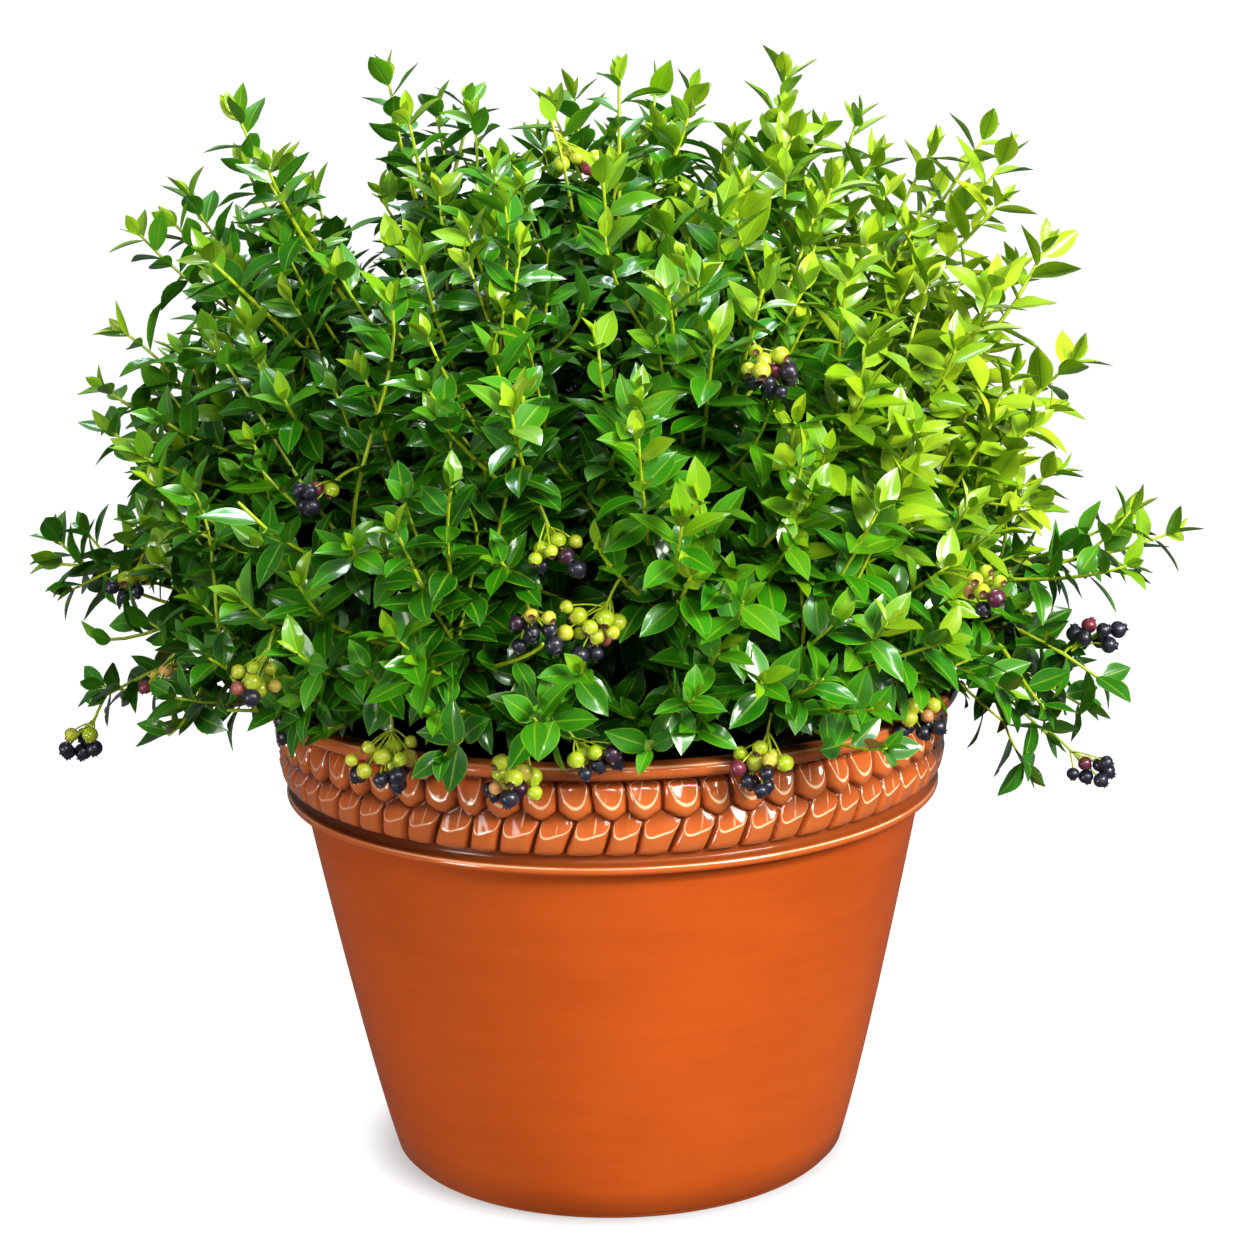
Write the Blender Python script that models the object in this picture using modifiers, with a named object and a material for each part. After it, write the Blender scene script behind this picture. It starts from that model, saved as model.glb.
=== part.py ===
"""Potted blueberry bush: a turned and glazed clay pot, potting soil, and a many-stemmed bush in fruit.

Metres, +Z up.  The origin is the middle of the pot's foot, on the surface that the pot stands on.

The bush grows from a woody crown that sits in the soil.  Its branches leave the crown in the
sunflower order, so that they fan out without crossing: the middle ones go up and the outer ones
lean over the rim.  Each branch is one solid: its cane, its twigs and its leaves grew together.
"""
import math

import bmesh
import bpy
from mathutils import Matrix, Vector
from mathutils.bvhtree import BVHTree

OBJECT_NAME = "potted_blueberry_bush"
GAP = 0.0003                      # clearance between pieces that rest on each other
AXIS_MERGE = 0.00001              # merges only the points of a turned profile that lie on its axis

# Pot, from the foot up
POT_HEIGHT = 0.287
FOOT_RADIUS = 0.1335
FOOT_ROUNDING = 0.005
BODY_TOP_RADIUS = 0.183
BODY_HEIGHT = 0.223
BODY_CURVE = 0.87                 # below 1, the body swells a little above a straight cone
WALL = 0.010
FLOOR = 0.014
LEDGE_RADIUS = 0.193
LEDGE_HEIGHT = 0.0062
BAND_BOTTOM = 0.2335
BAND_TOP = 0.2765
BAND_RADIUS = 0.1955
BAND_BULGE = 0.0025
NECK_RADIUS = 0.1885
LIP_RADIUS = 0.205
LIP_ROUNDING = 0.004
MOUTH_RADIUS = 0.187
MOUTH_FLARE = 0.002               # how much wider the mouth is at the lip
MOUTH_BOTTOM = 0.2465             # from here up the inside of the pot is nearly upright
WALL_HEIGHTS = (0.10, 0.209)      # of the points on the inside of the body
BODY_HEIGHTS = (0.222, 0.14, 0.065, 0.005)
BAND_SHARES = (0.0, 0.4, 1.0)     # of the way down the band
BAND_CROWN = 0.35                 # share of the way down at which the band is widest
POT_STEPS = 40
DRAIN_HOLES = 3
DRAIN_RADIUS = 0.010
DRAIN_CIRCLE = 0.070
DRAIN_STEPS = 12
DRAIN_TURN = 0.25                 # of the angle between two holes, from +X to the first

# Soil and the woody crown in it
SOIL_EDGE = 0.268
SOIL_MIDDLE = 0.274
SOIL_RADII = (0.0, 0.09, 0.15)    # of the points on the soil's surface, inside its edge
SOIL_STEPS = 20
CROWN_RADIUS = 0.066
CROWN_RISE = 0.012
CROWN_DEPTH = 0.055
CROWN_ANGLES = (0.0, 0.5, 0.95, 1.35)
CROWN_SHOULDER = 0.010            # depth at which the stump starts to narrow
STUMP_WAIST = (0.62, 0.6)         # of the crown's radius and depth
CROWN_STEPS = 16

# Bush: a squarish dome about a point above the soil
BUSH_CENTRE = Vector((-0.012, 0.0, 0.364))
BUSH_REACH = 0.280
BUSH_RISE = 0.258
BUSH_SQUARENESS = 2.5
BRANCHES = 34
BASE_DISC = 0.058                 # the branches leave the crown inside this radius
LOWEST_SINE = -0.22               # sine of the elevation of the lowest branch tip
GOLDEN_ANGLE = math.pi * (3.0 - math.sqrt(5.0))
LOWEST_TIP = math.radians(-15.0)  # at this elevation a shoot's tip points straight out
TIP_STRETCH = 0.97                # of the dome's reach, on average
TIP_UNEVENNESS = 0.05
TIP_RHYTHM = 5.1                  # radians of the unevenness from one branch to the next
CANE_UPRIGHT = 0.1                # outward share of a cane's first direction in the middle
CANE_LEAN = 9.0                   # and what each metre from the middle adds to it
CANE_PULLS = (0.38, 0.36)         # of a cane's length, at its foot and at its tip
TWIG_FORKS = (3, 4)               # which points of a cane its twigs start from
TWIG_TURN = 0.30                  # radians that a twig's tip stands off its cane's tip
TWIG_TURN_SHARES = (0.75, 0.25)   # the steady and the varying share of that turn
TWIG_TURN_RHYTHM = 2.3
TWIG_LIFT = 0.35
TWIG_LIFT_RHYTHM = (1.7, 3.0)     # radians from branch to branch, and from twig to twig
TWIG_REACH = 0.93                 # of the cane tip's distance from the bush's centre
TWIG_SPREAD = (0.5, 0.35)         # sideways share of a twig's direction at its foot and tip
TWIG_PULL = 0.35                  # of a twig's length, at both ends
TANGENT_STEP = 0.02
TRACE_POINTS = 40                 # points along a stem when its clearance is measured

# Stems and leaves
CANE_RADIUS = 0.0032
CANE_TIP_RADIUS = 0.0013
TWIG_RADIUS = 0.0018
TWIG_TIP_RADIUS = 0.0011
CANE_POINTS = 7
TWIG_POINTS = 5
STEM_CLEARANCE = 0.0022
LEAF_LENGTH = 0.036
LEAF_WIDTH = 0.016
LEAF_THICKNESS = 0.0013
LEAF_SPACING = 0.042
LEAF_ANGLE = math.radians(52.0)   # between a leaf and the stem above it
LEAF_CLEARANCE = 0.0006
LEAFY_LENGTH = 0.140              # the leaves sit on this much of a stem, below its tip
LEAFY_SHARE = 0.60                # but on no more than this share of it
LEAF_TURNS = (0.0, 0.7, -0.7, 1.4, -1.4)
FIRST_LEAF = 0.004                # from a stem's tip to its first leaf
TIP_LEAF_SHARE = 0.62             # length of the first leaf, of a full one
LEAF_GROWTH = 0.14                # and what each leaf below it gains
LEAF_RHYTHM = 1.3                 # radians from one stem's first leaf to the next stem's
TWIG_LEAF_OFFSET = 5              # stems of one branch are this many rhythms apart
STEM_REFERENCE = Vector((0.31, 0.87, 0.38))

# Fruit
BERRY_RADIUS = 0.0048
BERRIES_IN_CLUSTER = 4
BERRY_TURN = math.radians(165.0)  # from each berry to the next, about the stalk
BERRY_OFFSET = 0.55               # berry radii from the stalk to a berry's middle
BERRY_STEP = 1.15                 # berry radii along the stalk from one berry to the next
STALK_REFERENCE = Vector((0.2, 0.5, 0.84))
SEARCH_STEPS = 8                  # places tried between two points of a stem
STALK_RADIUS = 0.0010
STALK_LENGTH = 0.029              # at least this far from the stem to the end of its cluster

# Branch tips that stand out of the dome: tip (x, y, z), and the tip's angle above the horizontal
LEADERS = (
    ((-0.203, -0.040, 0.629), 70.0),
    ((-0.252, 0.010, 0.564), 48.0),
    ((-0.122, 0.030, 0.647), 84.0),
    ((0.012, -0.060, 0.646), 88.0),
    ((0.112, 0.070, 0.640), 76.0),
    ((0.230, 0.040, 0.604), 56.0),
    ((0.250, -0.060, 0.549), 66.0),
    ((0.278, 0.000, 0.476), 46.0),
    ((0.334, -0.030, 0.376), 24.0),
    ((0.287, -0.070, 0.289), -38.0),
    ((-0.330, -0.020, 0.366), 8.0),
    ((-0.300, -0.050, 0.288), -26.0),
    ((-0.292, -0.030, 0.474), 40.0),
)

# Middles of the fruit clusters
CLUSTERS = (
    (-0.174, -0.120, 0.293),
    (-0.116, -0.180, 0.288),
    (-0.051, -0.210, 0.287),
    (-0.009, -0.214, 0.296),
    (0.080, -0.200, 0.288),
    (0.168, -0.132, 0.292),
    (-0.272, -0.050, 0.360),
    (-0.304, -0.045, 0.267),
    (-0.247, -0.080, 0.313),
    (-0.183, -0.187, 0.338),
    (-0.036, -0.222, 0.365),
    (-0.005, -0.220, 0.367),
    (-0.024, -0.218, 0.408),
    (0.085, -0.197, 0.494),
    (0.194, -0.208, 0.382),
    (0.278, -0.060, 0.316),
    (0.275, -0.060, 0.241),
    (-0.014, -0.058, 0.594),
    (-0.150, -0.174, 0.432),
    (0.060, 0.205, 0.334),
)


def material(name, colour, roughness):
    """A plain Principled material."""
    made = bpy.data.materials.new(name)
    made.use_nodes = True
    shader = made.node_tree.nodes["Principled BSDF"]
    shader.inputs["Base Color"].default_value = (*colour, 1.0)
    shader.inputs["Roughness"].default_value = roughness
    shader.inputs["Metallic"].default_value = 0.0
    made.diffuse_color = (*colour, 1.0)
    return made


def collection(name):
    """A new collection under the scene."""
    made = bpy.data.collections.new(name)
    bpy.context.scene.collection.children.link(made)
    return made


def mesh_object(name, mesh, home, finish=None):
    """An object for a mesh, in a collection and with its material."""
    thing = bpy.data.objects.new(name, mesh)
    home.objects.link(thing)
    if finish:
        mesh.materials.clear()
        mesh.materials.append(finish)
    return thing


def as_cutter(thing):
    """Hide a cutter from renders and draw it as wire."""
    thing.hide_render = True
    thing.display_type = "WIRE"
    return thing


def mesh_of(thing, weld=True):
    """The evaluated mesh of an object in world space, with a curve's loose caps welded to it."""
    graph = bpy.context.evaluated_depsgraph_get()
    mesh = bpy.data.meshes.new_from_object(thing.evaluated_get(graph))
    mesh.transform(thing.matrix_world)
    if weld:
        shape = bmesh.new()
        shape.from_mesh(mesh)
        bmesh.ops.remove_doubles(shape, verts=shape.verts, dist=0.00001)
        bmesh.ops.recalc_face_normals(shape, faces=shape.faces)
        shape.to_mesh(mesh)
        shape.free()
    return mesh


def discard(thing):
    """Remove an object that was only a step on the way."""
    bpy.data.objects.remove(thing, do_unlink=True)


def turned(name, profile, steps, home, finish=None):
    """Turn a profile of (radius, height) points about the Z axis with a Screw modifier."""
    mesh = bpy.data.meshes.new(name)
    points = [(radius, 0.0, height) for radius, height in profile]
    mesh.from_pydata(points, [(i, i + 1) for i in range(len(points) - 1)], [])
    thing = mesh_object(name, mesh, home, finish)
    screw = thing.modifiers.new("turn", "SCREW")
    screw.axis = "Z"
    screw.angle = math.tau
    screw.steps = steps
    screw.render_steps = steps
    screw.use_merge_vertices = True
    screw.merge_threshold = AXIS_MERGE
    screw.use_smooth_shade = True
    return thing


def boolean(thing, other, operation, own_overlaps=False):
    """Add an exact Boolean modifier."""
    modifier = thing.modifiers.new(operation.lower(), "BOOLEAN")
    modifier.operation = operation
    modifier.solver = "EXACT"
    modifier.object = other
    modifier.use_self = own_overlaps
    return modifier


def tube(name, points, start_radius, end_radius, resolution, home):
    """A tapering tube along points, as a mesh object with welded caps."""
    curve = bpy.data.curves.new(name, "CURVE")
    curve.dimensions = "3D"
    curve.bevel_depth = start_radius
    curve.bevel_resolution = resolution
    curve.use_fill_caps = True
    spline = curve.splines.new("POLY")
    spline.points.add(len(points) - 1)
    last = len(points) - 1
    for i, point in enumerate(points):
        spline.points[i].co = (*point, 1.0)
        spline.points[i].radius = 1.0 + (end_radius / start_radius - 1.0) * i / last
    guide = bpy.data.objects.new(name + "_guide", curve)
    home.objects.link(guide)
    bpy.context.view_layer.update()
    made = mesh_object(name, mesh_of(guide), home)
    discard(guide)
    return made


# ---------------------------------------------------------------- pot and soil

def body_radius(height):
    """Outer radius of the pot's body at a height between the foot and the ledge."""
    return FOOT_RADIUS + (BODY_TOP_RADIUS - FOOT_RADIUS) * (height / BODY_HEIGHT) ** BODY_CURVE


def arc(centre, radius, start, end, steps):
    """Points on an arc of the profile, with its angles in degrees."""
    angles = [math.radians(start + (end - start) * i / steps) for i in range(steps + 1)]
    return [(centre[0] + radius * math.cos(a), centre[1] + radius * math.sin(a)) for a in angles]


def pot_profile():
    """The pot's section from the middle of its floor, up the inside, over the lip and down outside."""
    inside = [(0.0, FLOOR), (body_radius(FLOOR) - WALL, FLOOR)]
    inside += [(body_radius(h) - WALL, h) for h in WALL_HEIGHTS]
    inside.append((MOUTH_RADIUS, MOUTH_BOTTOM))
    inside.append((MOUTH_RADIUS + MOUTH_FLARE, POT_HEIGHT - LIP_ROUNDING))
    lip_inner = (MOUTH_RADIUS + MOUTH_FLARE + LIP_ROUNDING, POT_HEIGHT - LIP_ROUNDING)
    lip_outer = (LIP_RADIUS - LIP_ROUNDING, POT_HEIGHT - LIP_ROUNDING)
    lip = arc(lip_inner, LIP_ROUNDING, 135.0, 90.0, 1) + arc(lip_outer, LIP_ROUNDING, 90.0, -60.0, 2)
    groove = [(NECK_RADIUS + 0.006, BAND_TOP + 0.002)]
    band = []
    for t in BAND_SHARES:
        height = BAND_TOP + (BAND_BOTTOM - BAND_TOP) * t
        band.append((BAND_RADIUS - BAND_BULGE * (2.0 * (t - BAND_CROWN)) ** 2, height))
    neck = [(NECK_RADIUS, BAND_BOTTOM - 0.002)]
    ledge_middle = (LEDGE_RADIUS - 0.5 * LEDGE_HEIGHT, BODY_HEIGHT + 0.5 * LEDGE_HEIGHT)
    ledge = arc(ledge_middle, 0.5 * LEDGE_HEIGHT, 50.0, -50.0, 2)
    body = [(body_radius(h), h) for h in BODY_HEIGHTS]
    foot = [(body_radius(0.0) - 0.3 * FOOT_ROUNDING, 0.3 * FOOT_ROUNDING)]
    foot += [(body_radius(0.0) - FOOT_ROUNDING, 0.0), (0.0, 0.0)]
    return inside + lip + groove + band + neck + ledge + body + foot


def make_pot(home, cutters, finish):
    """The pot, with drain holes through its floor."""
    pot = turned("pot", pot_profile(), POT_STEPS, home, finish)
    drill = bmesh.new()
    for i in range(DRAIN_HOLES):
        turn = math.tau * (i + DRAIN_TURN) / DRAIN_HOLES
        middle = (DRAIN_CIRCLE * math.cos(turn), DRAIN_CIRCLE * math.sin(turn), 0.5 * FLOOR)
        bmesh.ops.create_cone(drill, cap_ends=True, segments=DRAIN_STEPS, radius1=DRAIN_RADIUS,
                              radius2=DRAIN_RADIUS, depth=3.0 * FLOOR,
                              matrix=Matrix.Translation(middle))
    mesh = bpy.data.meshes.new("drain_drill")
    drill.to_mesh(mesh)
    drill.free()
    boolean(pot, as_cutter(mesh_object("drain_drill", mesh, cutters)), "DIFFERENCE")


def soil_height(radius):
    """Height of the soil's surface, a shallow dome."""
    return SOIL_MIDDLE + (SOIL_EDGE - SOIL_MIDDLE) * (radius / MOUTH_RADIUS) ** 2


def crown_profile(extra):
    """The woody crown's section from its top down, grown by extra on every side."""
    rise, radius, depth = CROWN_RISE + extra, CROWN_RADIUS + extra, CROWN_DEPTH + extra
    top = [(radius * math.sin(a), SOIL_MIDDLE + rise * math.cos(a)) for a in CROWN_ANGLES]
    waist = (STUMP_WAIST[0] * radius, SOIL_MIDDLE - STUMP_WAIST[1] * depth)
    return top + [(radius, SOIL_MIDDLE - CROWN_SHOULDER), waist, (0.0, SOIL_MIDDLE - depth)]


def crown_height(radius):
    """Height of the crown's upper surface."""
    return SOIL_MIDDLE + CROWN_RISE * math.sqrt(1.0 - (radius / CROWN_RADIUS) ** 2)


def make_soil(home, cutters, finish):
    """The soil fills the pot to below its lip, with a socket for the crown."""
    reach = MOUTH_RADIUS - GAP
    section = [(r, soil_height(r)) for r in (*SOIL_RADII, reach)]
    section.append((reach, MOUTH_BOTTOM))
    section += [(body_radius(h) - WALL - GAP, h) for h in (*reversed(WALL_HEIGHTS), FLOOR + GAP)]
    section.append((0.0, FLOOR + GAP))
    soil = turned("soil", section, SOIL_STEPS, home, finish)
    socket = turned("crown_socket", crown_profile(GAP), CROWN_STEPS, cutters)
    boolean(soil, as_cutter(socket), "DIFFERENCE")


# ---------------------------------------------------------------- the bush's skeleton

def dome_point(azimuth, sine, stretch):
    """A point on the dome, a superellipse of revolution, in a direction from its centre."""
    cosine = math.sqrt(max(0.0, 1.0 - sine * sine))
    power = BUSH_SQUARENESS
    reach = (abs(cosine / BUSH_REACH) ** power + abs(sine / BUSH_RISE) ** power) ** (-1.0 / power)
    way = Vector((cosine * math.cos(azimuth), cosine * math.sin(azimuth), sine))
    return BUSH_CENTRE + stretch * reach * way


def tip_direction(azimuth, elevation):
    """Shoots point out at the bottom of the dome and straight up at its top."""
    share = max(0.0, (elevation - LOWEST_TIP) / (0.5 * math.pi - LOWEST_TIP))
    pitch = 0.5 * math.pi * math.sqrt(share)
    return Vector((math.cos(pitch) * math.cos(azimuth), math.cos(pitch) * math.sin(azimuth),
                   math.sin(pitch)))


def natural_tip(index):
    """Tip and tip direction of branch number index, in sunflower order over the dome."""
    sine = 1.0 - (1.0 - LOWEST_SINE) * (index + 0.5) / BRANCHES
    azimuth = index * GOLDEN_ANGLE
    stretch = TIP_STRETCH + TIP_UNEVENNESS * math.sin(TIP_RHYTHM * index)
    tip = dome_point(azimuth, sine, stretch)
    return tip, tip_direction(azimuth, math.asin(sine))


def branch_tips():
    """Every branch's tip; each leader takes the place of the nearest natural one."""
    tips = [natural_tip(i) for i in range(BRANCHES)]
    free = list(range(BRANCHES))
    for place, pitch in LEADERS:
        tip = Vector(place)
        nearest = min(free, key=lambda i: (tips[i][0] - tip).length)
        free.remove(nearest)
        out = tip - BUSH_CENTRE
        azimuth, angle = math.atan2(out.y, out.x), math.radians(pitch)
        tips[nearest] = (tip, Vector((math.cos(angle) * math.cos(azimuth),
                                      math.cos(angle) * math.sin(azimuth), math.sin(angle))))
    return tips


def bezier(start, start_pull, end_pull, end, t):
    """A point on a cubic Bezier curve."""
    s = 1.0 - t
    return (s ** 3 * start + 3.0 * s * s * t * start_pull + 3.0 * s * t * t * end_pull + t ** 3 * end)


def cane_path(index, tip, direction):
    """Control points of a cane, from the crown's surface to its tip."""
    radius = BASE_DISC * math.sqrt((index + 0.5) / BRANCHES)
    azimuth = index * GOLDEN_ANGLE
    outward = Vector((math.cos(azimuth), math.sin(azimuth), 0.0))
    height = crown_height(radius + CANE_RADIUS) + CANE_RADIUS * radius / CROWN_RADIUS + 2.0 * GAP
    start = radius * outward + Vector((0.0, 0.0, height))
    length = (tip - start).length
    lean = (outward * (CANE_UPRIGHT + CANE_LEAN * radius) + Vector((0.0, 0.0, 1.0))).normalized()
    start_pull, end_pull = CANE_PULLS
    return start, start + start_pull * length * lean, tip - end_pull * length * direction, tip


def curve_points(control, count):
    """Points along a Bezier curve, at evenly spaced parameters."""
    return [bezier(*control, i / (count - 1)) for i in range(count)]


def twig_path(cane, index, number, tip, direction):
    """Control points of a side twig that leaves the cane and ends beside the cane's tip."""
    t = TWIG_FORKS[number] / (CANE_POINTS - 1)
    start = bezier(*cane, t)
    along = (bezier(*cane, t + TANGENT_STEP) - start).normalized()
    out = tip - BUSH_CENTRE
    side = Vector((0.0, 0.0, 1.0)).cross(out).normalized()
    if number == index % 2:
        side = -side
    steady, varying = TWIG_TURN_SHARES
    turn = TWIG_TURN * (steady + varying * math.sin(TWIG_TURN_RHYTHM * index + number))
    phase = TWIG_LIFT_RHYTHM[0] * index + TWIG_LIFT_RHYTHM[1] * number
    lift = out.cross(side).normalized() * TWIG_LIFT * math.sin(phase)
    reach = TWIG_REACH * out.length
    end = BUSH_CENTRE + (out.normalized() + turn * (side + lift)).normalized() * reach
    pull = TWIG_PULL * (end - start).length
    leaving = (along + TWIG_SPREAD[0] * side).normalized()
    heading = (direction + TWIG_SPREAD[1] * side).normalized()
    return start, start + pull * leaving, end - pull * heading, end


def gap_between(path, radius, others):
    """Least clearance between a stem's points and other stems' points, each with its radius."""
    least = 1.0
    for point in path:
        for other, other_radius in others:
            least = min(least, (point - other).length - radius - other_radius)
    return least


def grow_skeleton():
    """Stems of every branch: a cane, and the twigs that stay clear of every other branch."""
    tips = branch_tips()
    controls = [cane_path(i, *tips[i]) for i in range(BRANCHES)]
    taken = [[(p, CANE_RADIUS) for p in curve_points(c, TRACE_POINTS)] for c in controls]
    branches = []
    for i, cane in enumerate(controls):
        stems = [(curve_points(cane, CANE_POINTS), CANE_RADIUS, CANE_TIP_RADIUS)]
        others = [item for j, path in enumerate(taken) if j != i for item in path]
        for number in range(len(TWIG_FORKS)):
            twig = twig_path(cane, i, number, *tips[i])
            trace = curve_points(twig, TRACE_POINTS)
            if gap_between(trace, TWIG_RADIUS, others) > STEM_CLEARANCE:
                stems.append((curve_points(twig, TWIG_POINTS), TWIG_RADIUS, TWIG_TIP_RADIUS))
                taken[i] += [(p, TWIG_RADIUS) for p in trace]
        branches.append(stems)
    return branches


# ---------------------------------------------------------------- leaves and fruit

def leaf_shape(root, out, up, length):
    """A thin pointed blade: a four-sided sphere stretched to a leaf's length, width and thickness."""
    across = out.cross(up).normalized()
    face = across.cross(out).normalized()
    shape = bmesh.new()
    bmesh.ops.create_uvsphere(shape, u_segments=4, v_segments=2, radius=1.0)
    scale = length / LEAF_LENGTH
    turn = Matrix((across * 0.5 * LEAF_WIDTH * scale, face * 0.5 * LEAF_THICKNESS,
                   out * 0.5 * length)).transposed().to_4x4()
    turn.translation = root + out * (0.5 * length)
    bmesh.ops.transform(shape, matrix=turn, verts=shape.verts)
    bmesh.ops.recalc_face_normals(shape, faces=shape.faces)
    return shape


class Neighbours:
    """What is already in place, as search trees with the branch that each belongs to."""

    def __init__(self):
        self.trees = []

    def add(self, owner, shape):
        low, high = bounds(shape)
        self.trees.append((owner, low, high, BVHTree.FromBMesh(shape)))

    def touches(self, shape, skip=None):
        """Whether a shape meets anything but the stems of the branch to skip."""
        low, high = bounds(shape)
        tree = BVHTree.FromBMesh(shape)
        for owner, other_low, other_high, other in self.trees:
            apart = any(low[k] > other_high[k] or high[k] < other_low[k] for k in range(3))
            if owner != skip and not apart and tree.overlap(other):
                return True
        return False


def bounds(shape):
    """Lowest and highest corners of a bmesh."""
    spots = [v.co for v in shape.verts]
    low = [min(s[k] for s in spots) for k in range(3)]
    high = [max(s[k] for s in spots) for k in range(3)]
    return low, high


def swollen(shape, by):
    """A copy of a bmesh with each point moved out along its normal."""
    copy = shape.copy()
    copy.normal_update()
    for vertex in copy.verts:
        vertex.co += vertex.normal * by
    return copy


def stem_length(points):
    """Length of a polyline."""
    return sum((b - a).length for a, b in zip(points, points[1:]))


def place_along(points, distance):
    """Point and direction at a distance along a polyline."""
    for a, b in zip(points, points[1:]):
        step = (b - a).length
        if distance <= step:
            return a + (b - a) * distance / step, (b - a).normalized()
        distance -= step
    return points[-1], (points[-1] - points[-2]).normalized()


def leaf_seats(points, index):
    """Where leaves sit on a stem: point, direction along the stem, turn about it, and leaf length."""
    total = stem_length(points)
    count = max(2, int(min(LEAFY_LENGTH, LEAFY_SHARE * total) / LEAF_SPACING))
    for k in range(count):
        spot, along = place_along(points, total - FIRST_LEAF - k * LEAF_SPACING)
        length = LEAF_LENGTH * min(1.0, TIP_LEAF_SHARE + LEAF_GROWTH * k)
        yield spot, along, index * LEAF_RHYTHM + k * GOLDEN_ANGLE, length


def leaf_at(spot, along, turn, length):
    """A leaf that leaves its stem at an angle, with its face towards the stem's tip."""
    aside = along.cross(STEM_REFERENCE).normalized()
    aside = Matrix.Rotation(turn, 3, along) @ aside
    out = (aside * math.sin(LEAF_ANGLE) + along * math.cos(LEAF_ANGLE)).normalized()
    return leaf_shape(spot, out, along, length)


def joined(name, shapes, home):
    """One mesh object from several bmeshes."""
    whole = bmesh.new()
    for shape in shapes:
        step = bpy.data.meshes.new("step")
        shape.to_mesh(step)
        whole.from_mesh(step)
        bpy.data.meshes.remove(step)
    mesh = bpy.data.meshes.new(name)
    whole.to_mesh(mesh)
    whole.free()
    return mesh_object(name, mesh, home)


def bmesh_of(thing):
    """A bmesh copy of a mesh object."""
    shape = bmesh.new()
    shape.from_mesh(thing.data)
    return shape


def united(name, first, others, home, finish):
    """One closed solid from a stem and the shapes that grow on it."""
    rest = joined(name + "_rest", others, home)
    boolean(first, rest, "UNION", own_overlaps=True)
    bpy.context.view_layer.update()
    made = mesh_object(name, mesh_of(first, weld=False), home, finish)
    discard(first)
    discard(rest)
    return made


def make_stems(branches, home, placed):
    """The tubes of every branch, also entered among the things that leaves must miss."""
    tubes = []
    for i, stems in enumerate(branches):
        own = []
        for k, (points, start, end) in enumerate(stems):
            own.append(tube(f"stem_{i}_{k}", points, start, end, 1 if k == 0 else 0, home))
            placed.add(("stem", i), bmesh_of(own[-1]))
        tubes.append(own)
    return tubes


def nearest_stem(place, branches):
    """The point of all the stems that is nearest to a place, with that stem's radius there."""
    spots = []
    for stems in branches:
        for points, start, end in stems:
            last = len(points) - 1
            for i, (a, b) in enumerate(zip(points, points[1:])):
                for share in (k / SEARCH_STEPS for k in range(SEARCH_STEPS + 1)):
                    spots.append((a.lerp(b, share), start + (end - start) * (i + share) / last))
    return min(spots, key=lambda found: (found[0] - place).length)


def make_cluster(number, middle, branches, home, finish, placed):
    """Berries on a stalk, one solid, hung from the nearest stem."""
    spot, radius = nearest_stem(middle, branches)
    way = (middle - spot).normalized()
    middle = spot + way * max(STALK_LENGTH, (middle - spot).length)
    start = spot + way * (radius + STALK_RADIUS + 2.0 * GAP)
    stalk = tube(f"stalk_{number}", [start, start.lerp(middle, 0.5), middle], STALK_RADIUS,
                 STALK_RADIUS, 0, home)
    berries = []
    side = way.cross(STALK_REFERENCE).normalized()
    for k in range(BERRIES_IN_CLUSTER):
        around = Matrix.Rotation(k * BERRY_TURN, 3, way) @ side
        centre = middle + (BERRY_OFFSET * around - BERRY_STEP * k * way) * BERRY_RADIUS
        berry = bmesh.new()
        bmesh.ops.create_uvsphere(berry, u_segments=4, v_segments=3, radius=BERRY_RADIUS,
                                  matrix=Matrix.Translation(centre))
        berries.append(berry)
    cluster = united(f"berries_{number:02d}", stalk, berries, home, finish)
    placed.add(("berries", number), swollen(bmesh_of(cluster), LEAF_CLEARANCE))


def make_branch(index, stems, tubes, home, finish, placed):
    """A branch: its tubes and every leaf that finds room, joined into one solid."""
    growth = [bmesh_of(thing) for thing in tubes[1:]]
    for k, (points, _, _) in enumerate(stems):
        for spot, along, turn, length in leaf_seats(points, index + TWIG_LEAF_OFFSET * k):
            for extra in LEAF_TURNS:
                leaf = leaf_at(spot, along, turn + extra, length)
                if not placed.touches(swollen(leaf, LEAF_CLEARANCE), skip=("stem", index)):
                    placed.add(("leaf", index), leaf)
                    growth.append(leaf)
                    break
    for thing in tubes[1:]:
        discard(thing)
    united(f"branch_{index + 1:02d}", tubes[0], growth, home, finish)


def main():
    for thing in list(bpy.data.objects):
        bpy.data.objects.remove(thing, do_unlink=True)
    home = collection(OBJECT_NAME)
    cutters = collection(OBJECT_NAME + "_cutters")

    clay = material("glazed_clay", (0.66, 0.12, 0.018), 0.28)
    earth = material("soil", (0.035, 0.022, 0.014), 0.95)
    wood = material("bark", (0.16, 0.09, 0.045), 0.85)
    foliage = material("foliage", (0.06, 0.26, 0.02), 0.35)
    fruit = material("fruit", (0.03, 0.03, 0.09), 0.40)

    make_pot(home, cutters, clay)
    make_soil(home, cutters, earth)
    turned("crown", crown_profile(0.0), CROWN_STEPS, home, wood)

    bpy.context.view_layer.update()
    placed = Neighbours()
    for name in ("pot", "soil"):
        guard = bmesh.new()
        guard.from_mesh(mesh_of(bpy.data.objects[name], weld=False))
        placed.add((name, 0), swollen(guard, LEAF_CLEARANCE))

    branches = grow_skeleton()
    tubes = make_stems(branches, home, placed)
    for number, middle in enumerate(CLUSTERS, start=1):
        make_cluster(number, Vector(middle), branches, home, fruit, placed)
    for index, stems in enumerate(branches):
        make_branch(index, stems, tubes[index], home, foliage, placed)


main()
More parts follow.
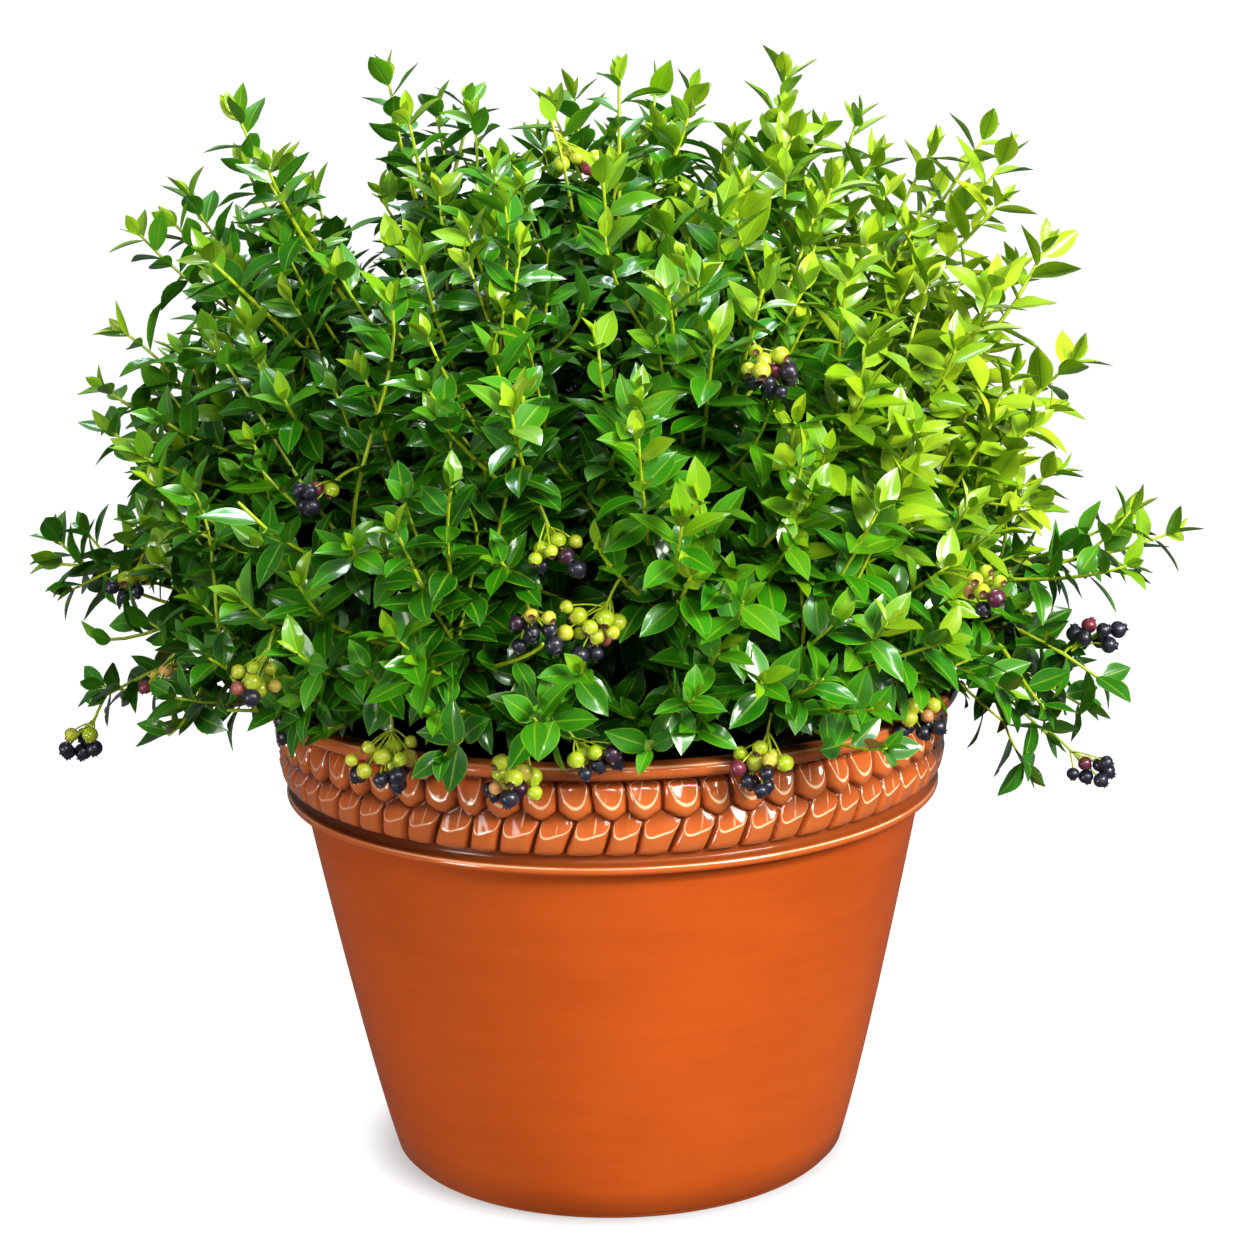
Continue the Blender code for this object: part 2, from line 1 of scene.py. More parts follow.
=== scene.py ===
"""Looks of the potted blueberry bush: glazed pot, soil, crown, branches with their leaves, and fruit.

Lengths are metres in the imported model's frame: +Z up, origin in the middle of the pot's foot.
A surface is worked out as whole numpy arrays; each function's docstring gives its formula.
"""
import math

import bpy
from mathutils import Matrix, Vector
from mathutils.geometry import tessellate_polygon
import numpy as np


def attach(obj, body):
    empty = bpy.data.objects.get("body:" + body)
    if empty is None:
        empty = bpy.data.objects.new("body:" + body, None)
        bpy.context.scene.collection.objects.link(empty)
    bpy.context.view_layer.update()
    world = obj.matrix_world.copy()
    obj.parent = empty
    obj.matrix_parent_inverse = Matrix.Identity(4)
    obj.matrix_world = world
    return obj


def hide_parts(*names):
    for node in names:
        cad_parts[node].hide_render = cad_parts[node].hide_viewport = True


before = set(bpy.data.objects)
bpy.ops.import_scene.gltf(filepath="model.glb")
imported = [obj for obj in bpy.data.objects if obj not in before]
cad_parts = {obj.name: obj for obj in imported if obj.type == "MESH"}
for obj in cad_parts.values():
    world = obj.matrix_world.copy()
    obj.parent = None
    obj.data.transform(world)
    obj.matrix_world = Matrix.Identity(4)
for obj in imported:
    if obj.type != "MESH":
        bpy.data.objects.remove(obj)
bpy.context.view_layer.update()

GOLDEN_ANGLE = math.pi * (3.0 - math.sqrt(5.0))
UP = np.array([0.0, 0.0, 1.0])
BODY = "root"
WHITE, BLACK = (1.0, 1.0, 1.0), (0.0, 0.0, 0.0)

# Seeds of the random draws
FILL_SEED, MATURITY_SEED, SEAT_SEED, RIM_SEED, LEAF_SEED, FRUIT_SEED = 23, 31, 32, 41, 400, 700

# The pot's section, as the solid pot has it
POT_HEIGHT = 0.287
FOOT_RADIUS = 0.1335
FOOT_ROUNDING = 0.005
BODY_TOP_RADIUS = 0.183
BODY_HEIGHT = 0.223
BODY_CURVE = 0.87
WALL = 0.010
FLOOR = 0.014
LEDGE_RADIUS = 0.193
LEDGE_HEIGHT = 0.0062
BAND_BOTTOM = 0.2335
BAND_TOP = 0.2765
BAND_RADIUS = 0.1955
BAND_BULGE = 0.0025
NECK_RADIUS = 0.1885
LIP_RADIUS = 0.205
LIP_ROUNDING = 0.004
MOUTH_RADIUS = 0.187
MOUTH_BOTTOM = 0.2465
LIP_INSET = 0.002
GROOVE_PLACE = (NECK_RADIUS + 0.0065, BAND_TOP + 0.0024)
GROOVE_RADIUS = 0.0036
NECK_FILLET = 0.003
UNDER_BAND = BAND_BOTTOM - 0.003
DRAIN_HOLES = 3
DRAIN_RADIUS = 0.010
DRAIN_CIRCLE = 0.070
DRAIN_TURN = 0.25
DRAIN_COLUMNS = 24

# Plaited relief on the band
LOBES = 64
BAND_COLUMNS = 18 * LOBES
BAND_ROWS = 62
RELIEF = 0.0062
RELIEF_LEVEL = 0.66
RIM_UNIT = 0.045
POT_COLUMNS = 384

# Soil and crown
SOIL_EDGE = 0.268
SOIL_MIDDLE = 0.274
CROWN_RADIUS = 0.066
CROWN_RISE = 0.012
CROWN_SINK = 0.002
CROWN_DEPTH = 0.03
CROWN_ROWS, CROWN_COLUMNS = 26, 96
SOIL_GAP = 0.001
SOIL_REACH = MOUTH_RADIUS - SOIL_GAP
SOIL_SHOULDER = BAND_BOTTOM + 0.012
SOIL_ROWS, SOIL_COLUMNS = 60, 180

# The bush's skeleton, as the solid branches have it
BUSH_CENTRE = np.array([-0.012, 0.0, 0.364])
BUSH_REACH = 0.280
BUSH_RISE = 0.258
BUSH_SQUARENESS = 2.5
BRANCHES = 34
BASE_DISC = 0.058
LOWEST_SINE = -0.22
LOWEST_TIP = math.radians(-15.0)
TWIG_STARTS = (0.5, 4.0 / 6.0)
TWIG_TURN = 0.30
CANE_RADIUS = 0.0032
CANE_ROOT_DEPTH = 0.003

# Canes whose tips stand out of the dome: tip, pitch in degrees
LEADERS = (
    ((-0.203, -0.040, 0.629), 70.0),
    ((-0.252, 0.010, 0.564), 48.0),
    ((-0.122, 0.030, 0.647), 84.0),
    ((0.012, -0.060, 0.646), 88.0),
    ((0.112, 0.070, 0.640), 76.0),
    ((0.230, 0.040, 0.604), 56.0),
    ((0.250, -0.060, 0.549), 66.0),
    ((0.278, 0.000, 0.476), 46.0),
    ((0.334, -0.030, 0.376), 24.0),
    ((0.287, -0.070, 0.289), -38.0),
    ((-0.330, -0.020, 0.366), 8.0),
    ((-0.300, -0.050, 0.288), -26.0),
    ((-0.292, -0.030, 0.474), 40.0),
)

# Shorter shoots that stand out of the dome: tip, pitch in degrees
SKYLINE = (
    ((-0.270, 0.000, 0.559), 50.0), ((-0.242, 0.020, 0.580), 62.0), ((-0.188, 0.030, 0.596), 70.0),
    ((-0.279, -0.030, 0.505), 35.0), ((-0.284, -0.060, 0.454), 40.0), ((-0.265, -0.070, 0.428), 20.0),
    ((-0.098, 0.050, 0.626), 75.0), ((-0.074, 0.030, 0.622), 80.0), ((-0.030, 0.000, 0.628), 70.0),
    ((-0.014, 0.030, 0.632), 80.0), ((0.034, 0.020, 0.636), 82.0), ((0.059, 0.050, 0.633), 60.0),
    ((0.105, 0.010, 0.622), 84.0), ((0.153, 0.030, 0.616), 66.0), ((0.196, 0.030, 0.596), 60.0),
    ((0.236, 0.000, 0.594), 58.0), ((0.115, 0.000, 0.612), 70.0), ((0.200, -0.050, 0.492), 40.0),
    ((0.243, -0.080, 0.451), 48.0), ((0.268, -0.040, 0.414), 20.0), ((0.246, -0.080, 0.400), 8.0),
    ((0.304, -0.040, 0.396), 60.0), ((0.282, -0.060, 0.334), -10.0), ((0.241, -0.070, 0.236), -60.0),
    ((-0.290, -0.060, 0.316), 20.0), ((-0.226, -0.100, 0.353), 10.0), ((-0.201, -0.130, 0.385), 30.0),
    ((-0.324, -0.020, 0.386), 50.0), ((-0.306, -0.020, 0.392), 60.0), ((-0.318, -0.030, 0.347), -25.0),
    ((-0.300, -0.040, 0.349), -10.0), ((-0.282, -0.020, 0.394), 40.0), ((-0.303, -0.050, 0.302), 20.0),
    ((0.280, -0.060, 0.272), -30.0), ((0.258, -0.060, 0.254), -42.0), ((0.272, -0.050, 0.306), -15.0),
    ((0.228, -0.090, 0.272), -35.0), ((0.132, 0.020, 0.607), 60.0), ((0.226, -0.120, 0.300), -20.0),
)

# Notches between the shoots, right through the bush along Y: x, z, radius
NOTCHES = ((-0.145, 0.571, 0.017), (0.246, 0.490, 0.013), (-0.274, 0.410, 0.014), (0.077, 0.620, 0.016),
           (-0.229, 0.260, 0.028), (-0.255, 0.264, 0.020), (-0.270, 0.324, 0.018), (-0.296, 0.321, 0.016))

# Shoots that fill the dome: how many, the lowest sine, the least and greatest share of the dome's
# reach, and the seed of their draws
OUTER_SHOOTS = (380, -0.24, 0.84, 0.97, 21)
MIDDLE_SHOOTS = (150, -0.24, 0.66, 0.84, 25)
INNER_SHOOTS = (150, -0.30, 0.42, 0.68, 22)
RIM_SHOOTS = 46
RIM_REACH, RIM_HEIGHT, RIM_PITCH = (0.160, 0.205), (0.306, 0.328), (-5.0, 30.0)
SHOOT_LENGTH = 0.16

# By kind of shoot (cane, twig, skyline, outer, middle, rim, inner): radius at its start and at its
# end, how young its stem is, the share of it that bears leaves, and the age added to its leaves
SHOOT_KINDS = (
    (CANE_RADIUS, 0.0018, 0.0015, 0.0014, 0.0013, 0.0013, 0.0012),
    (0.0009, 0.0009, 0.0008, 0.0008, 0.0008, 0.0007, 0.0007),
    (0.0, 0.6, 0.9, 0.9, 0.8, 0.8, 0.4),
    (0.62, 0.85, 0.90, 0.92, 0.92, 0.95, 0.92),
    (0.0, 0.0, 0.0, 0.0, 0.3, 0.3, 0.9),
)

# Leaves, and a leaf's size by its number down the shoot from the tip
LEAF_LENGTH = 0.029
LEAF_SPACING = 0.0068
LEAF_THICKNESS = 0.00035
LEAF_STATIONS = 6
LEAF_COLUMNS = (-1.0, -0.5, 0.0, 0.5, 1.0)
TIP_OVERHANG = 0.010
# Painted light: leaves on the upper +X side, where the key light falls, are made younger and so a lighter
# lime; the next line gives where this starts in x and z and the distance over which it grows to full.
LIT_SIDE_YOUTH = 0.90
LIT_SIDE_START, LIT_SIDE_SPAN = (-0.03, 0.30), (0.24, 0.12)
LEAVES_PER_SHOOT = 37
LEAF_SCALES = ((0, 1, 2, 3, 5, 8, 26), (0.48, 0.62, 0.76, 0.86, 1.0, 1.0, 0.85))

# Room kept free of leaves: a round window outwards from each cluster, and the pot with its front
WINDOW_START, WINDOW_END = -0.004, 0.09
WINDOW_RADIUS = 0.019
POT_FRONT = -0.085
FRONT_ROOM, SIDE_ROOM, LIP_ROOM = 0.036, 0.007, 0.004

# Fruit.  A berry's calyx rings: radius and height as shares of the berry's, and the eye's colour.
BERRY_RADIUS = 0.0046
BERRY_COLUMNS = 15
CALYX = np.array([(0.42, 0.93, 0.6), (0.44, 1.06, 1.0), (0.30, 0.90, 1.0), (0.16, 0.84, 1.0)])
BERRY_FLATNESS = 0.92
BERRY_GAP = 1.95 * BERRY_RADIUS
BERRY_PACKING = 0.55
PUSH_ROUNDS = 40
HUB_SETBACK = 0.010
PEDICEL_RADIUS, STALK_RADIUS = 0.00055, 0.0009

# Each cluster's middle, its number of berries, the ripe share of them, and how loosely it hangs
CLUSTERS = (
    ((-0.174, -0.120, 0.293), 5, 0.70, 1.0), ((-0.116, -0.180, 0.288), 17, 0.35, 1.35),
    ((-0.051, -0.210, 0.287), 16, 0.30, 1.25), ((-0.009, -0.214, 0.296), 9, 0.55, 1.0),
    ((0.080, -0.200, 0.288), 13, 0.50, 1.15), ((0.168, -0.132, 0.292), 12, 0.60, 1.2),
    ((-0.272, -0.050, 0.360), 5, 0.60, 1.0), ((-0.304, -0.045, 0.267), 7, 0.75, 1.0),
    ((-0.247, -0.080, 0.313), 7, 0.00, 1.1), ((-0.183, -0.187, 0.338), 8, 0.12, 1.1),
    ((-0.036, -0.222, 0.365), 9, 0.80, 1.2), ((-0.005, -0.220, 0.367), 13, 0.22, 1.3),
    ((-0.024, -0.218, 0.408), 9, 0.40, 1.1), ((0.085, -0.197, 0.494), 15, 0.50, 1.1),
    ((0.194, -0.208, 0.382), 9, 0.15, 1.1), ((0.278, -0.060, 0.316), 8, 1.00, 1.1),
    ((0.275, -0.060, 0.241), 7, 1.00, 1.0), ((-0.014, -0.058, 0.594), 6, 0.00, 1.0),
    ((-0.150, -0.174, 0.432), 6, 0.80, 1.0), ((0.060, 0.205, 0.334), 10, 0.50, 1.0),
)

# Studio: the floor's painted contact shadow, a darker patch under the pot; and each lamp's name, place,
# width,
#  height, power, colour, the height that it is aimed at and its spread in degrees
FLOOR_REACH = 6.0
STUDIO_ROWS, STUDIO_COLUMNS = 25, 96
SHADOW_SHIFT = (0.006, -0.004, 0.0)
SHADOW_RADIUS, SHADOW_END = 0.126, 0.158
LAMPS = (
    ("key", (1.75, -1.6, 1.45), 0.9, 0.9, 93.0, (1.0, 0.98, 0.93), 0.3, 180.0),
    ("fill", (-1.7, -1.5, 0.45), 0.6, 0.6, 9.0, (1.0, 0.98, 0.95), 0.3, 180.0),
    ("low_fill", (-1.6, -1.3, 0.04), 0.5, 0.2, 0.52, (1.0, 0.97, 0.93), 0.09, 26.0),
    ("floor_bounce", (0.1, -1.6, 0.04), 0.8, 0.1, 0.07, (1.0, 0.97, 0.93), 0.02, 20.0),
    ("sky", (-0.1, 0.7, 2.2), 1.1, 0.5, 34.0, (0.82, 0.92, 1.0), 0.3, 180.0),
    ("strip", (0.60, -2.1, 1.75), 2.4, 0.16, 38.0, (0.97, 0.99, 1.0), 0.3, 180.0),
)

# Camera
CAMERA_PLACE = (0.0103, -1.722, 0.710)
CAMERA_PITCH = math.radians(90.0 - 12.89)
CAMERA_ROLL = math.radians(-1.13)
CAMERA_LENS = 86.1
CAMERA_FILM = 36.0


# ---------------------------------------------------------------- meshes from arrays

def unit(vectors):
    """Vectors divided by their length."""
    return vectors / np.maximum(np.linalg.norm(vectors, axis=-1, keepdims=True), 1e-12)


def full_turn(count):
    """Evenly spaced angles once round."""
    return np.arange(count) * math.tau / count


def around_z(radius, turn, height):
    """Points at a radius and a turn about Z, and at a height."""
    return np.stack(np.broadcast_arrays(radius * np.cos(turn), radius * np.sin(turn), height), -1)


def make_piece(name, points, faces, finish, stands_for, attributes=None, smooth_below=60.0):
    """A mesh piece at the origin, riding on the body and standing for its solid nodes."""
    mesh = bpy.data.meshes.new(name)
    mesh.from_pydata(points.reshape(-1, 3).tolist(), [], faces)
    for key, values in (attributes or {}).items():
        layer = mesh.attributes.new(key, "FLOAT", "POINT")
        layer.data.foreach_set("value", np.ascontiguousarray(values, np.float32).ravel())
    mesh.shade_smooth()
    mesh.set_sharp_from_angle(angle=math.radians(smooth_below))
    piece = bpy.data.objects.new(name, mesh)
    bpy.context.scene.collection.objects.link(piece)
    mesh.materials.append(finish)
    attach(piece, BODY)
    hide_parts(*stands_for)


def grid_faces(rows, columns, first=0):
    """Quads of a grid whose columns close on themselves, as an array of corner numbers."""
    row = np.arange(rows - 1)[:, None]
    column = np.arange(columns)[None, :]
    after = (column + 1) % columns
    corners = np.stack([row * columns + column, row * columns + after,
                        (row + 1) * columns + after, (row + 1) * columns + column], -1)
    return corners.reshape(-1, 4) + first


def fan_faces(ring, pole, flip=False):
    """Triangles from a closed ring of corner numbers to a pole."""
    after = np.roll(ring, -1)
    order = (after, ring) if flip else (ring, after)
    return np.stack([*order, np.full(len(ring), pole)], -1)


def tube_faces(rows, columns, downward=False):
    """Quads between closed rings, and triangles to a pole at each end, numbered after the rings.
    Rings that turn about +Z and follow each other down need downward.
    """
    ring, last = np.arange(columns), np.arange(columns) + (rows - 1) * columns
    ends = [fan_faces(ring, rows * columns, flip=not downward),
            fan_faces(last, rows * columns + 1, flip=downward)]
    quads = grid_faces(rows, columns)
    return quads[:, ::-1] if downward else quads, np.concatenate(ends)


def facing(points, triangles, way):
    """The same triangles, each turned so that its face looks along a direction."""
    a, b, c = (points[triangles[:, i]] for i in range(3))
    wrong = (np.cross(b - a, c - a) * way).sum(-1) < 0.0
    return np.where(wrong[:, None], triangles[:, ::-1], triangles).tolist()


def repeated(faces, copies, stride):
    """Faces of one shape, repeated for copies whose corners follow each other."""
    shift = np.arange(copies)[:, None, None] * stride
    return (faces[None] + shift).reshape(-1, faces.shape[1]).tolist()


# ---------------------------------------------------------------- shader maths

class Value:
    """An output socket of a material; arithmetic on it adds Math nodes."""

    def __init__(self, tree, socket):
        self.tree = tree
        self.socket = socket

    def node(self, kind, settings=None, inputs=None, output=0):
        """Add any node: its settings first, then the values or links of its sockets."""
        made = self.tree.nodes.new(kind)
        for key, value in (settings or {}).items():
            if key == "stops":
                ramp = made.color_ramp
                while len(ramp.elements) < len(value):
                    ramp.elements.new(0.5)
                for element, (place, colour) in zip(ramp.elements, value):
                    element.position = place
                    element.color = (*colour, 1.0)
            else:
                setattr(made, key, value)
        for key, value in (inputs or {}).items():
            if isinstance(value, Value):
                self.tree.links.new(value.socket, made.inputs[key])
            else:
                made.inputs[key].default_value = value
        return Value(self.tree, made.outputs[output])

    def math(self, operation, *others, clamp=False):
        return self.node("ShaderNodeMath", {"operation": operation, "use_clamp": clamp},
                         dict(enumerate((self, *others))))

    def __add__(self, other):
        return self.math("ADD", other)

    def __sub__(self, other):
        return self.math("SUBTRACT", other)

    def __rsub__(self, other):
        return self.node("ShaderNodeMath", {"operation": "SUBTRACT"}, {0: other, 1: self})

    def __mul__(self, other):
        return self.math("MULTIPLY", other)

    def __pow__(self, other):
        return self.math("POWER", other)

    __radd__ = __add__
    __rmul__ = __mul__

    def clamped(self):
        return self.math("ADD", 0.0, clamp=True)

    def step(self, start, end):
        """0 below start, 1 above end, and smooth between them."""
        return self.node("ShaderNodeMapRange", {"interpolation_type": "SMOOTHSTEP"},
                         {"Value": self, "From Min": start, "From Max": end})

    def near_zero(self, start, end):
        """1 where this value is within start of 0, and 0 beyond end."""
        return 1.0 - self.math("ABSOLUTE").step(start, end)

    def blend(self, low, high):
        """Mix two colours by this value."""
        return self.node("ShaderNodeMix", {"data_type": "RGBA"},
                         {0: self, 6: colour_of(low), 7: colour_of(high)}, output=2)

    def ramp(self, *stops):
        """A colour ramp read at this value."""
        return self.node("ShaderNodeValToRGB", {"stops": stops}, {0: self})


def colour_of(value):
    """A colour as a socket value."""
    return value if isinstance(value, Value) else (*value, 1.0)


class Finish:
    """A material with one Principled shader, made from formulas over the surface."""

    def __init__(self, name, **constants):
        self.material = bpy.data.materials.new(name)
        self.material.use_nodes = True
        self.tree = self.material.node_tree
        self.shader = self.tree.nodes["Principled BSDF"]
        for key, value in constants.items():
            self.shader.inputs[key.replace("_", " ")].default_value = value
        self.place = Value(self.tree, self.tree.nodes.new("ShaderNodeTexCoord").outputs["Object"])

    def attribute(self, name):
        return self.place.node("ShaderNodeAttribute", {"attribute_name": name}, output=2)

    def noise(self, scale, detail=3.0, roughness=0.5, where=None):
        return self.place.node("ShaderNodeTexNoise", {},
                               {"Vector": where or self.place, "Scale": scale, "Detail": detail,
                                "Roughness": roughness})

    def stretched(self, scale):
        """Object coordinates scaled along each axis."""
        return self.place.node("ShaderNodeVectorMath", {"operation": "MULTIPLY"},
                               {0: self.place, 1: scale})

    def feed(self, **sockets):
        """Link values to the shader's own sockets."""
        for key, value in sockets.items():
            self.tree.links.new(value.socket, self.shader.inputs[key.replace("_", " ")])

    def bump(self, height, distance, strength=1.0):
        """Raise the surface by a height between 0 and 1 times a distance."""
        return height.node("ShaderNodeBump", {}, {"Height": height, "Distance": distance,
                                                  "Strength": strength})


def glaze_finish():
    """Orange glaze: dark in the relief's hollows, where the glaze pools and where shade is painted, and thin
    and pale on its ridges; painted highlight lines along facet creases, rims and short streaks; towards +X,
    the lit side, less painted shade and brighter painted highlights.
    """
    finish = Finish("orange_glaze", Coat_Roughness=0.06, Specular_IOR_Level=0.12)
    pool_and_shade = finish.attribute("recess")
    shine = finish.attribute("shine")
    # A mask that is 0 towards -X and 1 towards +X, the side the key light falls on: it weakens the painted
    # shade and brightens the painted highlights there.
    right_side_lit = finish.place.node("ShaderNodeSeparateXYZ", {}, {0: finish.place}).step(-0.17, 0.05)
    brushed = finish.noise(1.0, 4.0, 0.6, finish.stretched((14.0, 14.0, 90.0)))
    cloud = finish.noise(7.0, 3.0, 0.55)
    speck = finish.noise(420.0, 2.0, 0.5)
    uneven = (0.35 * brushed + 0.65 * cloud).step(0.30, 0.70)
    body = uneven.blend((0.440, 0.066, 0.006), (0.535, 0.086, 0.009))
    thin = (shine * (1.0 - pool_and_shade).step(0.80, 1.0)).clamped()
    ridge = (0.50 * shine + 0.3 * thin).clamped().blend(body, (0.56, 0.135, 0.028))
    # Dark brown in the hollows: glaze pooled there, and painted shade, weaker towards the lit +X side.
    pooled_and_shaded = (pool_and_shade.step(0.18, 0.74) * (0.97 - 0.40 * right_side_lit)).blend(ridge, (0.050, 0.008, 0.001))
    colour = (0.10 * speck.step(0.60, 0.72)).blend(pooled_and_shaded, (0.20, 0.03, 0.006))
    # Painted highlights in a pale, near-white colour: lines along facet creases (where the glaze also breaks
    # thin), short painted glint streaks inside facets, and lines along the lip, ledge and band rim.
    facet = finish.attribute("facet")
    crease = facet.near_zero(0.015, 0.060) * (1.0 - pool_and_shade.step(0.35, 0.6))
    streak = finish.attribute("streak").near_zero(0.01, 0.035) * facet.step(0.05, 0.12)
    streak = streak * finish.noise(90.0).step(0.45, 0.60)
    rim = finish.attribute("rim").near_zero(0.004, 0.013) * (0.35 + 0.65 * brushed.step(0.40, 0.60))
    light = (0.85 * crease + 0.6 * streak + 0.75 * rim).clamped() * (0.42 + 0.58 * right_side_lit)
    colour = light.blend(colour, (0.95, 0.67, 0.40))
    rough = 0.40 - 0.24 * shine + 0.06 * cloud
    coat = 0.1 + 0.8 * shine * (1.0 - 0.9 * pool_and_shade.step(0.25, 0.8))
    finish.feed(Base_Color=colour, Roughness=rough, Coat_Weight=coat,
                Normal=finish.bump(0.6 * brushed + 0.4 * cloud, 0.0006, 0.35))
    return finish.material


def leaf_finish():
    """Leaf: lime when young and deep green when grown, with a pale midrib and margin."""
    finish = Finish("blueberry_leaf", Coat_Weight=0.8, Coat_Roughness=0.14, Specular_IOR_Level=0.3)
    age, tint = finish.attribute("age"), finish.attribute("tint")
    along, across = finish.attribute("along"), finish.attribute("across")
    under = finish.attribute("under")
    side = across.math("ABSOLUTE")
    young = tint.blend((0.230, 0.460, 0.003), (0.470, 0.620, 0.014))
    kelly = tint.blend((0.018, 0.220, 0.002), (0.065, 0.310, 0.004))
    deep = tint.blend((0.003, 0.070, 0.001), (0.012, 0.150, 0.002))
    blade = age.step(0.40, 1.0).blend(age.step(0.05, 0.50).blend(young, kelly), deep)
    mottle = finish.noise(130.0, 3.0, 0.6)
    blade = (0.16 * mottle.step(0.35, 0.75)).blend(blade, (0.06, 0.28, 0.002))
    vein = ((along * 7.0 - 2.2 * side).math("FRACT") - 0.5).near_zero(0.0, 0.10)
    veins = vein * (1.0 - side.step(0.70, 0.95)) * 0.22 * age
    rib = 1.0 - side.step(0.03, 0.13)
    edge = side.step(0.84, 0.98)
    marks = (veins + 0.85 * rib + 0.70 * edge).clamped()
    marked = (0.62 * marks).blend(blade, (0.27, 0.50, 0.015))
    colour = (0.55 * under).blend(marked, (0.07, 0.22, 0.01))
    rough = 0.30 + 0.14 * mottle + 0.22 * under + 0.05 * tint
    finish.feed(Base_Color=colour, Roughness=rough,
                Normal=finish.bump(1.0 - 0.8 * rib - 0.5 * veins, 0.0005, 0.5))
    return finish.material


def stem_finish():
    """Stem: yellow-green on this year's growth, brown at the foot of the canes."""
    finish = Finish("young_stem", Coat_Weight=0.1, Coat_Roughness=0.3)
    age = finish.attribute("age")
    streak = finish.noise(1.0, 3.0, 0.6, finish.stretched((500.0, 500.0, 60.0)))
    green = streak.step(0.3, 0.7).blend((0.28, 0.44, 0.005), (0.50, 0.60, 0.012))
    brown = streak.step(0.3, 0.7).blend((0.06, 0.045, 0.018), (0.17, 0.12, 0.05))
    colour = age.step(0.15, 0.85).blend(green, brown)
    finish.feed(Base_Color=colour, Roughness=0.45 + 0.3 * age,
                Normal=finish.bump(streak, 0.0004, 0.6))
    return finish.material


def berry_finish():
    """Berry: yellow-green, then rosy, then near black with a faint waxy bloom; a dark calyx."""
    finish = Finish("berry_skin", Coat_Weight=0.4, Coat_Roughness=0.12)
    ripe, eye = finish.attribute("ripeness"), finish.attribute("eye")
    skin = ripe.ramp((0.0, (0.42, 0.58, 0.015)), (0.20, (0.62, 0.60, 0.05)), (0.36, (0.72, 0.34, 0.12)),
                     (0.52, (0.30, 0.035, 0.06)), (0.70, (0.05, 0.006, 0.03)), (1.0, (0.007, 0.006, 0.016)))
    bloom = finish.noise(260.0, 3.0, 0.6).step(0.35, 0.75) * ripe.step(0.6, 0.9) * 0.10
    dusted = bloom.blend(skin, (0.16, 0.18, 0.30))
    calyx = ripe.step(0.3, 0.8).blend((0.12, 0.045, 0.012), (0.012, 0.008, 0.010))
    colour = eye.step(0.35, 0.65).blend(dusted, calyx)
    finish.feed(Base_Color=colour, Roughness=0.28 + 0.16 * ripe + 0.25 * eye)
    return finish.material


def soil_finish():
    """Dark potting mix: crumbs of peat with paler bark and grit."""
    finish = Finish("potting_mix", Specular_IOR_Level=0.2)
    crumb = finish.noise(240.0, 6.0, 0.7)
    chips = finish.place.node("ShaderNodeTexVoronoi", {}, {"Vector": finish.place, "Scale": 170.0})
    earth = crumb.ramp((0.25, (0.008, 0.005, 0.003)), (0.55, (0.040, 0.024, 0.014)),
                       (0.80, (0.110, 0.070, 0.040)))
    colour = ((1.0 - chips.step(0.05, 0.30)) * 0.5).blend(earth, (0.15, 0.09, 0.05))
    finish.feed(Base_Color=colour, Roughness=0.85 + 0.12 * crumb,
                Normal=finish.bump(0.6 * crumb + 0.4 * chips, 0.003, 0.9))
    return finish.material


def bark_finish():
    """Woody crown: grey-brown bark in rough plates."""
    finish = Finish("crown_bark", Specular_IOR_Level=0.3)
    plate = finish.noise(90.0, 5.0, 0.65)
    colour = plate.ramp((0.30, (0.030, 0.018, 0.010)), (0.60, (0.15, 0.09, 0.05)),
                        (0.85, (0.28, 0.20, 0.13)))
    finish.feed(Base_Color=colour, Roughness=0.75 + 0.2 * plate,
                Normal=finish.bump(plate, 0.003, 0.9))
    return finish.material


# ---------------------------------------------------------------- pot

def body_radius(height):
    """Foot radius plus the body's flare times the height's share to the power of the curve."""
    return FOOT_RADIUS + (BODY_TOP_RADIUS - FOOT_RADIUS) * (height / BODY_HEIGHT) ** BODY_CURVE


def arc(centre, radius, start, end, count):
    """Points on a circle between two angles in degrees."""
    angle = np.radians(np.linspace(start, end, count))
    return np.stack([centre[0] + radius * np.cos(angle), centre[1] + radius * np.sin(angle)], -1)


